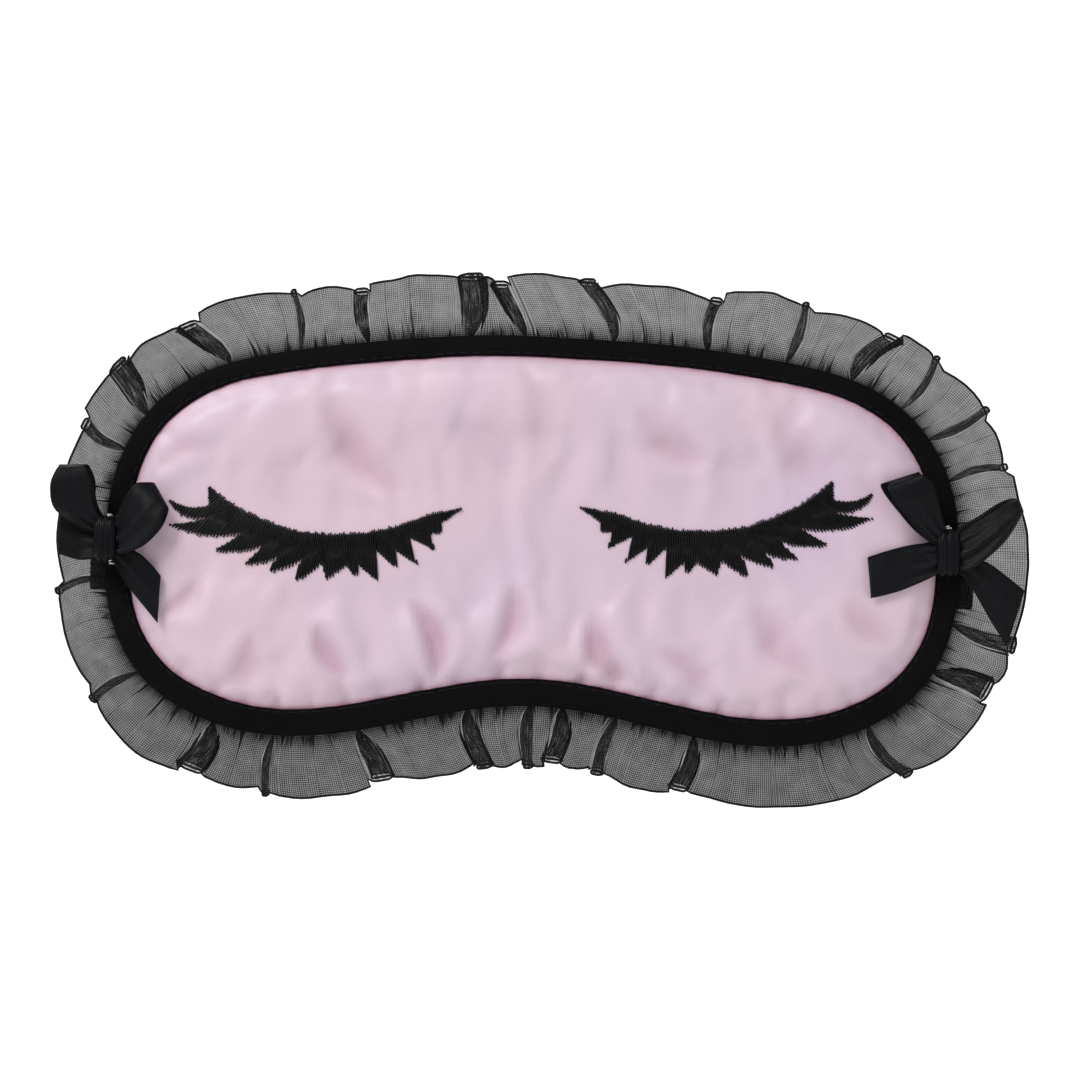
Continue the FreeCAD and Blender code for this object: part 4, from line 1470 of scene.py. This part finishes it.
# %% Points of the frill
SWELL_GAP = 18 * MM
HEM_SWELL = 1.5
HEM_DIP = 0.6
HEADING_DEPTH = 0.28 * MM
BIG_LAYER_GAP = 0.34
SMALL_LAYER_GAP = 0.16
COVER_BELOW = 0.86
COVER_LOST_TO_PAINTED_LIGHT = 0.07
HEM_IN_FOLD = 0.6
frill_low, frill_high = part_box("ruffle")
frill_middle = 0.5 * (frill_low.y + frill_high.y)


def hem_bulge(share):
    """The hem swells between large folds and steps in at each, in mm."""
    after = np.searchsorted(fold_shares, share) % len(fold_shares)
    before = after - 1
    gap = (fold_shares[after] - fold_shares[before]) % 1.0
    part = np.clip(((share - fold_shares[before]) % 1.0) / gap, 0, 1)
    swell = np.minimum(1.0, gap * edge_length / SWELL_GAP)
    leaving, arriving = -FOLD_STEP * fold_ways[before], FOLD_STEP * fold_ways[after]
    step = leaving * (1 - part) ** 2 + arriving * part ** 2
    return HEM_SWELL * swell * np.sin(math.pi * part) - HEM_DIP + step


def frill_reach(share, step_out):
    """How far each column's hem stands past the plain reach, in mm. The frill is fuller at the
    two sides of the mask."""
    flat = on_edge(share)
    scallop = lumps(flat, (15, 0.9, 31.0), (5.5, 0.6, 32.0))
    sideways = flat[:, 0] / edge_loop[:, 0].max()
    fuller = np.where(sideways > 0, 1.6, 2.2) * np.sign(sideways) * np.abs(sideways) ** 6
    return scallop + hem_bulge(share) + step_out + fuller


def frill_depth(share, layer, big, size):
    """Depth of every point: a slow wave that grows towards the hem, and the layers of each fold
    kept apart. The heading lies flat behind the binding."""
    wave = lumps(on_edge(share), (9, 1.5, 33.0), (4, 0.35, 34.0))
    depth = frill_middle + (wave - 0.5)[:, None] * MM * frill_rows
    behind = np.clip(-np.array(FRILL_ROWS) / 1.5, 0, 1)
    depth = depth * (1 - behind) + HEADING_DEPTH * behind
    apart = np.where(big, BIG_LAYER_GAP, SMALL_LAYER_GAP)[:, None] * MM * (0.35 + 0.65 * frill_rows)
    return depth + layer[:, None] * apart * np.minimum(1, size / (0.4 * MM))


def frill_points(draw):
    """Points of the frill, and for each column its cover, with painted shade that makes it denser where
    the edge faces down, its crinkle and the width of its hem.
    """
    share, push, layer, cover, crinkle, big, size, step_out = frill_columns(draw)
    along = share[:, None] + (push + lean(share)) / edge_length
    out = np.array(FRILL_ROWS) * MM + frill_reach(share, step_out)[:, None] * MM * frill_rows ** 1.5
    # Painted light and shade: the cover is thinner, so the frill lighter, where the edge faces up, and
    # denser, so darker, where it faces down.
    cover = cover * (COVER_BELOW - COVER_LOST_TO_PAINTED_LIGHT * np.minimum(1, 2 * facing_up(share)))
    crinkle = crinkle[:, None] * np.minimum(1, size / (0.5 * MM))
    hem_width = np.where(big & (layer > 0), HEM_IN_FOLD, 1.0)
    return on_edge(along, out, frill_depth(share, layer, big, size)), cover, crinkle, hem_width


# %% Build the frill
FIRST_FREE_ROW = 5
frill, frill_cover_and_shade, frill_crinkle, hem_width = frill_points(random.Random(5))
frill_uv = cloth_map(frill, slice(FIRST_FREE_ROW, None))
frill_mesh = grid_mesh("organza_frill", frill, frill_uv, loops_round=True)
seam_fade = np.exp(-np.clip(np.array(FRILL_ROWS), 0, None) / 1.6) * 0.22
cover_values = (frill_cover_and_shade[:, None] + seam_fade[None]).clip(0, 1)
for label, values in (("cover", cover_values), ("crinkle", frill_crinkle)):
    frill_mesh.attributes.new(label, "FLOAT", "POINT").data.foreach_set(
        "value", values.reshape(-1).astype(np.float32))
organza_frill = new_object("organza_frill", frill_mesh, black_organza)
work = bmesh.new()
work.from_mesh(frill_mesh)
frill_area = sum(face.calc_area() for face in work.faces)
work.free()
print(f"frill: {len(frill_mesh.polygons)} faces, {frill_area * 1e4:.0f} square cm")

# %% [markdown]
# The hem is rolled and overcast, which leaves a firm black line along the outer edge. It follows
# the last row of the frill through every fold, so it doubles back where the cloth does.

# %% Rolled hem
HEM_RADIUS = 0.31 * MM
hem_mesh = lines_mesh("rolled_hem", [frill[:, -1]], closed=True, thin=[hem_width])
rolled_hem = grown("rolled_hem", hem_mesh, threads_on_lines, Thread_Radius=HEM_RADIUS, Sides=5,
                   Material=sewing_thread)
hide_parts("ruffle_hem")
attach(rolled_hem, "mask")
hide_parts("ruffle")
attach(organza_frill, "mask")

# %% [markdown]
# ## Ribbon bows
#
# Each bow is tied from satin ribbon about 10 mm wide: two loops, two tails and a band wrapped
# round the middle. A loop is one length of ribbon that leaves the knot, turns over at its far
# end and comes back behind itself. The ribbon is gathered where the knot squeezes it. Each length
# is drawn by its two selvages, a few points each, and a smooth curve runs through them.

# %% Ribbon from two selvages
RIBBON_THICK = 0.35 * MM
CURVE_STEPS = 8
SQUEEZE_REACH = 5.0


def smooth_through(points, steps):
    """A smooth line through all the points, with so many steps between neighbours."""
    points = np.asarray(points, float)
    ends = np.vstack([2 * points[0] - points[1], points, 2 * points[-1] - points[-2]])
    line = []
    for k in range(1, len(ends) - 2):
        p0, p1, p2, p3 = ends[k - 1:k + 3]
        for part in np.arange(steps) / steps:
            line.append(0.5 * (2 * p1 + (p2 - p0) * part + (2 * p0 - 5 * p1 + 4 * p2 - p3) * part ** 2
                               + (3 * p1 - p0 - 3 * p2 + p3) * part ** 3))
    return np.array(line + [points[-1]])


def ribbon(name, knot, stations, crown, gathers, seed):
    """Ribbon between selvages. A station is (one edge x, z), (other edge x, z), depth y, side,
    in mm from the knot. Side is -1 where the face looks forward and 1 where it has turned over."""
    first = smooth_through([(u[0], y, u[1]) for u, _, y, _ in stations], CURVE_STEPS)
    second = smooth_through([(v[0], y, v[1]) for _, v, y, _ in stations], CURVE_STEPS)
    side = smooth_through([(s, 0, 0) for *_, s in stations], CURVE_STEPS)[:, 0]
    across = np.linspace(0, 1, 15)
    points = first[:, None] * (1 - across[None, :, None]) + second[:, None] * across[None, :, None]
    away = np.linalg.norm(points.mean(1)[:, (0, 2)], axis=1)
    squeeze = np.exp(-away / SQUEEZE_REACH)[:, None]
    arch = crown * (1 - (2 * across - 1) ** 2)[None] * (1 - 0.7 * squeeze)
    pleats = np.sin(across[None] * TAU * gathers + seed + 0.12 * away[:, None])
    pleats = pleats * (0.75 * squeeze + 0.06)
    points[..., 1] += side[:, None] * arch + pleats
    points *= MM
    points[..., 1] += lumps(points, (4, 0.22, 40 + seed)) * MM
    points += np.array([knot[0], 0, knot[1]])
    mesh = grid_mesh(name, points, cloth_map(points))
    return with_thickness(new_object(name, mesh, ribbon_satin), RIBBON_THICK, 0.0)


# %% Loops of a bow
LOOP_TURN = 0.9
LOOP_FRONT = (-10.0, -11.2, -11.9, -11.9, -11.2)
LOOP_BACK = (-9.6, -9.2, -9.0, -9.0, -9.4)
TAIL_DEPTH = (-9.3, -8.7, -8.4, -8.5, -8.8)


def loop_stations(edges, shift):
    """Out along the front, over at the far end and back behind. Edges run from knot to far end."""
    out = [(u, v, LOOP_FRONT[k], -1) for k, (u, v) in enumerate(edges)]
    far_u, far_v = np.array(edges[-1][0]), np.array(edges[-1][1])
    near = np.array(edges[-2])
    ahead = (far_u + far_v) / 2 - near.mean(0)
    ahead = ahead / np.linalg.norm(ahead) * LOOP_TURN
    middle = 0.5 * (LOOP_FRONT[-1] + LOOP_BACK[-1])
    pull = 0.16 * (far_v - far_u)
    bend = [(tuple(far_u + ahead + pull), tuple(far_v + ahead - pull), middle, 0)]
    edges = (*edges[:-1], (tuple(far_u + 0.35 * pull), tuple(far_v - 0.35 * pull)))
    out[-1] = (*edges[-1], LOOP_FRONT[-1], -1)
    home = [((u[0] + shift[0], u[1] + shift[1]), (v[0] + shift[0], v[1] + shift[1]), LOOP_BACK[k], 1)
            for k, (u, v) in reversed(list(enumerate(edges)))]
    return out + bend + home


# %% Knot of a bow
KNOT_DEPTH = -10.4 * MM
KNOT_HALF_WIDE = 2.5
KNOT_HALF_DEEP = 2.3
RIB_SEED = 0.7


def knot_wrap(name, knot, half_tall):
    """The band round the middle of a bow, with lengthwise ribs where it was pulled tight."""
    across = np.linspace(-1, 1, 25)
    turn = np.arange(40) / 40 * TAU
    a, t = np.meshgrid(across, turn, indexing="ij")
    barrel = (1 - np.abs(a) ** 4 * 0.55) ** 0.5
    ribs = 1 + 0.055 * np.sin(a * 11 + RIB_SEED + 0.25 * np.sin(2 * t))
    ribs = ribs + 0.03 * np.sin(a * 23 + 2 * RIB_SEED)
    waist = 1 + 0.10 * np.abs(np.sin(t)) ** 2
    x = a * KNOT_HALF_WIDE * waist
    z = np.sign(np.sin(t)) * np.abs(np.sin(t)) ** 0.8 * half_tall * barrel * ribs
    y = -np.cos(t) * KNOT_HALF_DEEP * barrel * ribs
    points = np.stack([knot[0] + x * MM, KNOT_DEPTH + y * MM, knot[1] + z * MM], -1)
    mesh = grid_mesh(name, points, loops_across=True)
    layer = mesh.uv_layers.new(name="cloth")
    place = np.array([v.co for v in mesh.vertices])
    index = np.empty(len(mesh.loops), int)
    mesh.loops.foreach_get("vertex_index", index)
    layer.data.foreach_set("uv", np.column_stack(
        [place[index, 2], place[index, 0]]).reshape(-1).astype(np.float32))
    return new_object(name, capped(mesh), ribbon_satin)


# %% [markdown]
# The two bows were tied by hand, so they differ. The left one has an upright loop and a loop
# that reaches in over the satin; the right one is larger and its tails are longer.

# %% Selvages of both bows
# Each pair holds the two selvages at one place, in mm from the knot, from the knot to the far end
LEFT_LOOPS = {
    "upper_loop": (((-2.0, 0.8), (0.8, 2.6)), ((-7.5, 3.6), (-1.6, 5.4)), ((-11.8, 7.0), (-2.8, 8.6)),
                   ((-12.7, 12.0), (-3.0, 12.4)), ((-12.0, 15.6), (-4.0, 15.8))),
    "inner_loop": (((0.4, 3.0), (1.0, -3.0)), ((3.0, 6.2), (4.4, -3.2)), ((4.8, 10.0), (8.6, -1.4)),
                   ((6.8, 12.8), (12.4, 2.6)), ((9.6, 13.6), (14.2, 5.8))),
}
LEFT_TAILS = {
    "lower_tail": (((1.8, -0.4), (0.2, -3.4)), ((4.8, -1.8), (2.2, -6.0)), ((8.2, -3.6), (4.7, -10.1)),
                   ((10.8, -6.0), (8.2, -14.4)), ((12.8, -8.3), (12.3, -19.1))),
    "outer_tail": (((-0.6, 2.6), (-0.6, -2.6)), ((-3.0, 4.4), (-2.8, -4.4)), ((-5.4, 5.2), (-5.0, -5.0)),
                   ((-7.6, 5.6), (-7.2, -4.8)), ((-11.0, 6.6), (-11.2, -3.6))),
}
RIGHT_LOOPS = {
    "inner_loop": (((-1.8, 0.6), (0.2, 3.4)), ((-6.8, 4.4), (-1.2, 6.2)), ((-10.4, 8.4), (-2.6, 10.6)),
                   ((-13.4, 12.0), (-4.0, 15.0)), ((-15.2, 14.2), (-5.2, 17.6))),
    "outer_loop": (((0.6, 3.2), (0.8, -3.2)), ((4.0, 6.0), (4.2, -4.1)), ((8.0, 8.4), (8.4, -1.2)),
                   ((12.0, 11.2), (13.0, 3.4)), ((14.8, 12.8), (16.4, 8.6))),
}
RIGHT_TAILS = {
    "inner_tail": (((-0.8, 2.6), (-0.6, -3.8)), ((-4.5, 2.2), (-4.5, -6.2)), ((-9.2, 1.4), (-9.6, -8.6)),
                   ((-14.0, 0.1), (-13.8, -10.0)), ((-18.6, -1.5), (-17.6, -10.9))),
    "lower_tail": (((1.0, -0.6), (0.4, -3.6)), ((5.4, -1.0), (3.6, -5.4)), ((9.4, -2.2), (6.6, -9.4)),
                   ((13.8, -5.2), (10.2, -15.4)), ((17.9, -8.4), (14.1, -21.4))),
}


# %% Both bows
def knot_place(side):
    """The middle of a knot, seen from the front."""
    low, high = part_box(f"{side}_bow_knot")
    return 0.5 * (low.x + high.x), 0.5 * (low.z + high.z)


def build_bow(side, knot, loops, tails, half_tall, back_shift):
    """Both loops, both tails and the knot of one bow. The rear half of each loop is shifted
    sideways and up, so that it shows past the front half."""
    body = f"{side}_bow"
    made = []
    for number, (part, edges) in enumerate(loops.items()):
        stations = loop_stations(edges, (back_shift, 0.9 - 0.8 * number))
        made.append((part, ribbon(f"{body}_{part}_ribbon", knot, stations, crown=0.7, gathers=2.6,
                                  seed=1.3 * number)))
    for number, (part, edges) in enumerate(tails.items()):
        stations = [(u, v, TAIL_DEPTH[k], -1) for k, (u, v) in enumerate(edges)]
        made.append((part, ribbon(f"{body}_{part}_ribbon", knot, stations, crown=0.45, gathers=2.2,
                                  seed=2.1 + number)))
    made.append(("knot", knot_wrap(f"{body}_knot_wrap", knot, half_tall)))
    for part, piece in made:
        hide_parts(f"{body}_{part}")
        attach(piece, body)
    return made


LEFT_KNOT = knot_place("left")
RIGHT_KNOT = knot_place("right")
left_bow_pieces = build_bow("left", LEFT_KNOT, LEFT_LOOPS, LEFT_TAILS, half_tall=5.2, back_shift=0.2)
right_bow_pieces = build_bow("right", RIGHT_KNOT, RIGHT_LOOPS, RIGHT_TAILS, half_tall=5.3,
                             back_shift=-1.3)
print("bows:", ", ".join(piece.name for _, piece in left_bow_pieces + right_bow_pieces))


# %% [markdown]
# A few turns of clear thread tack each bow to the binding. They are hidden behind the knot apart
# from short bars: two on the left bow, above and below the knot, and one above it on the right.

# %% Tacking thread
TACK_TURNS = 9
TACK_RADIUS = 0.6 * MM
TACK_TWIST = 2.4
BAR_ENDS = -9.6 * MM
BAR_TOP = -12.2 * MM


def tack(side, knot, bars, seed):
    """A twisted bundle behind the knot, and three short threads at each bar."""
    low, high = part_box(f"{side}_bow_tack_stitch")
    draw = random.Random(seed)
    lines = []
    for number in range(TACK_TURNS):
        angle = number / TACK_TURNS * TAU
        ring = np.array([math.cos(angle), math.sin(angle)]) * TACK_RADIUS
        twist = np.array([math.cos(angle + TACK_TWIST), math.sin(angle + TACK_TWIST)]) * TACK_RADIUS
        half = 0.5 * (ring + twist)
        lines.append([(knot[0] + ring[0], low.y - 0.4 * MM, knot[1] + ring[1]),
                      (knot[0] + half[0], 0.5 * (low.y + high.y), knot[1] + half[1]),
                      (knot[0] + twist[0], high.y, knot[1] + twist[1])])
    for x, z in np.repeat(bars, 3, axis=0):
        start = (x + draw.uniform(-0.5, 0.5), z + draw.uniform(-0.35, 0.35))
        end = (start[0] + draw.uniform(0.6, 1.1), start[1] + draw.uniform(-0.5, 0.5))
        half = ((start[0] + end[0]) / 2, (start[1] + end[1]) / 2)
        lines.append([(knot[0] + across * MM, depth, knot[1] + up * MM)
                      for (across, up), depth in ((start, BAR_ENDS), (half, BAR_TOP), (end, BAR_ENDS))])
    lines = [smooth_through(line, 5) for line in lines]
    thread = grown(f"{side}_bow_tack_thread", lines_mesh(f"{side}_tack", lines), threads_on_lines,
                   Thread_Radius=0.13 * MM, Sides=6, Material=tack_thread)
    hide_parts(f"{side}_bow_tack_stitch")
    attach(thread, f"{side}_bow")


tack("left", LEFT_KNOT, bars=((0.6, 5.6), (0.8, -5.4)), seed=3)
tack("right", RIGHT_KNOT, bars=((-0.6, 6.0),), seed=4)
print("both bows are tacked")

# %% [markdown]
# ## Elastic strap
#
# The strap is knitted elastic, 10 mm wide, with fine ribs along its length. Its two ends are
# sewn behind the binding and it runs round the back of the head. The sewn ends are one piece
# each, and the long run is another, because on a wearer the ends move with the mask and the
# rest with the head. Here the three pieces are attached to no body.

# %% Route of the strap
strap_rear_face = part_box("strap_back")[1].y
end_low, end_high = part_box("strap_left_end")
STRAP_MIDDLE_Z = 0.5 * (end_low.z + end_high.z)
STRAP_HALF = 0.5 * (end_high.z - end_low.z)
ELASTIC = 1.2 * MM
STRAP_X = -end_low.x - 0.5 * ELASTIC
STRAP_REAR = strap_rear_face - 0.5 * ELASTIC
STRAP_TURN = end_high.y
CORNER = STRAP_REAR - STRAP_TURN
SEAM_START = -end_high.x
JOIN = STRAP_TURN + 4 * MM
JOIN_ANGLE = math.asin((JOIN - STRAP_TURN) / CORNER)
TEMPLE_BEND = 3.0 * MM


def on_corner(angle):
    """A point where the strap turns round the side of the head."""
    return STRAP_X - CORNER + CORNER * math.cos(angle), STRAP_TURN + CORNER * math.sin(angle)


def rear_path(steps):
    """From beside one temple, round the back, to the other."""
    centre = STRAP_X - CORNER
    right = [on_corner(JOIN_ANGLE + (math.pi / 2 - JOIN_ANGLE) * k / steps) for k in range(steps + 1)]
    back = [(x, STRAP_REAR) for x in np.linspace(centre, -centre, 15)[1:-1]]
    left = [(-x, y) for x, y in reversed(right)]
    return np.array(right + back + left)


def end_path(side):
    """From the seam behind the binding, out and round to the start of the long run."""
    flat = end_low.y + 0.5 * ELASTIC
    line = [(SEAM_START, flat), (SEAM_START + 1.6 * MM, flat), (SEAM_START + 3.2 * MM, flat),
            (STRAP_X - TEMPLE_BEND, flat)]
    for step in range(1, 9):
        angle = step / 8 * math.pi / 2
        line.append((STRAP_X - TEMPLE_BEND + TEMPLE_BEND * math.sin(angle),
                     flat + TEMPLE_BEND * (1 - math.cos(angle))))
    line += [on_corner(angle) for angle in np.linspace(0, JOIN_ANGLE, 6)]
    keep = [line[0]]
    for point in line[1:]:
        if math.dist(point, keep[-1]) > 0.2 * MM:
            keep.append(point)
    return np.array([(side * x, y) for x, y in keep])


# %% Elastic along its route
ELASTIC_RIBS = 10


def elastic_band(name, path):
    """A ribbed band swept along a path in the level plane."""
    across = np.linspace(-1, 1, 6 * ELASTIC_RIBS + 1)
    half_thick = 0.5 * ELASTIC * (1 - 0.35 * np.abs(across) ** 8)
    half_thick = half_thick * (0.90 + 0.10 * np.cos(across * math.pi * ELASTIC_RIBS))
    section = [(STRAP_HALF * a, half) for a, half in zip(across, half_thick)]
    section += [(STRAP_HALF * a, -half) for a, half in zip(across[::-1], half_thick[::-1])]
    along = np.gradient(path, axis=0)
    along /= np.linalg.norm(along, axis=1)[:, None]
    out = np.column_stack([along[:, 1], -along[:, 0]])
    height, depth = np.array(section).T
    points = np.empty((len(path), len(section), 3))
    points[..., 0] = path[:, None, 0] + out[:, None, 0] * depth[None]
    points[..., 1] = path[:, None, 1] + out[:, None, 1] * depth[None]
    points[..., 2] = STRAP_MIDDLE_Z + height[None]
    run = np.r_[0, np.cumsum(np.linalg.norm(np.diff(path, axis=0), axis=1))]
    uv = np.stack(np.broadcast_arrays(run[:, None], height[None]), -1)
    mesh = grid_mesh(name, points, uv, loops_across=True)
    print(f"{name}: {run[-1] * 1000:.0f} mm long")
    return new_object(name, capped(mesh), elastic_knit)


# %% Build the strap
elastic_run = elastic_band("elastic_run", rear_path(28))
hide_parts("strap_left_side", "strap_right_side", "strap_back")
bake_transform(elastic_run)

for side, label in ((-1, "left"), (1, "right")):
    sewn_end = elastic_band(f"elastic_{label}_end", end_path(side))
    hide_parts(f"strap_{label}_end")
    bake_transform(sewn_end)


# %% [markdown]
# Each end is held by a bar tack, a dense zigzag of thread across the strap.

# %% Bar tacks
ZIGZAG_STEPS = 34


def bar_tack(label):
    low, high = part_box(f"strap_{label}_bar_tack")
    y = high.y - 0.12 * MM
    line = [(low.x if step % 2 else high.x, y - 0.05 * MM * (step % 3),
             low.z + (high.z - low.z) * step / ZIGZAG_STEPS) for step in range(ZIGZAG_STEPS + 1)]
    tacked = grown(f"bar_tack_{label}", lines_mesh(f"bar_{label}", [line]), threads_on_lines,
                   Thread_Radius=0.17 * MM, Sides=6, Material=sewing_thread)
    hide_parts(f"strap_{label}_bar_tack")
    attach(tacked, "mask")


bar_tack("left")
bar_tack("right")
print("both ends of the strap are tacked")
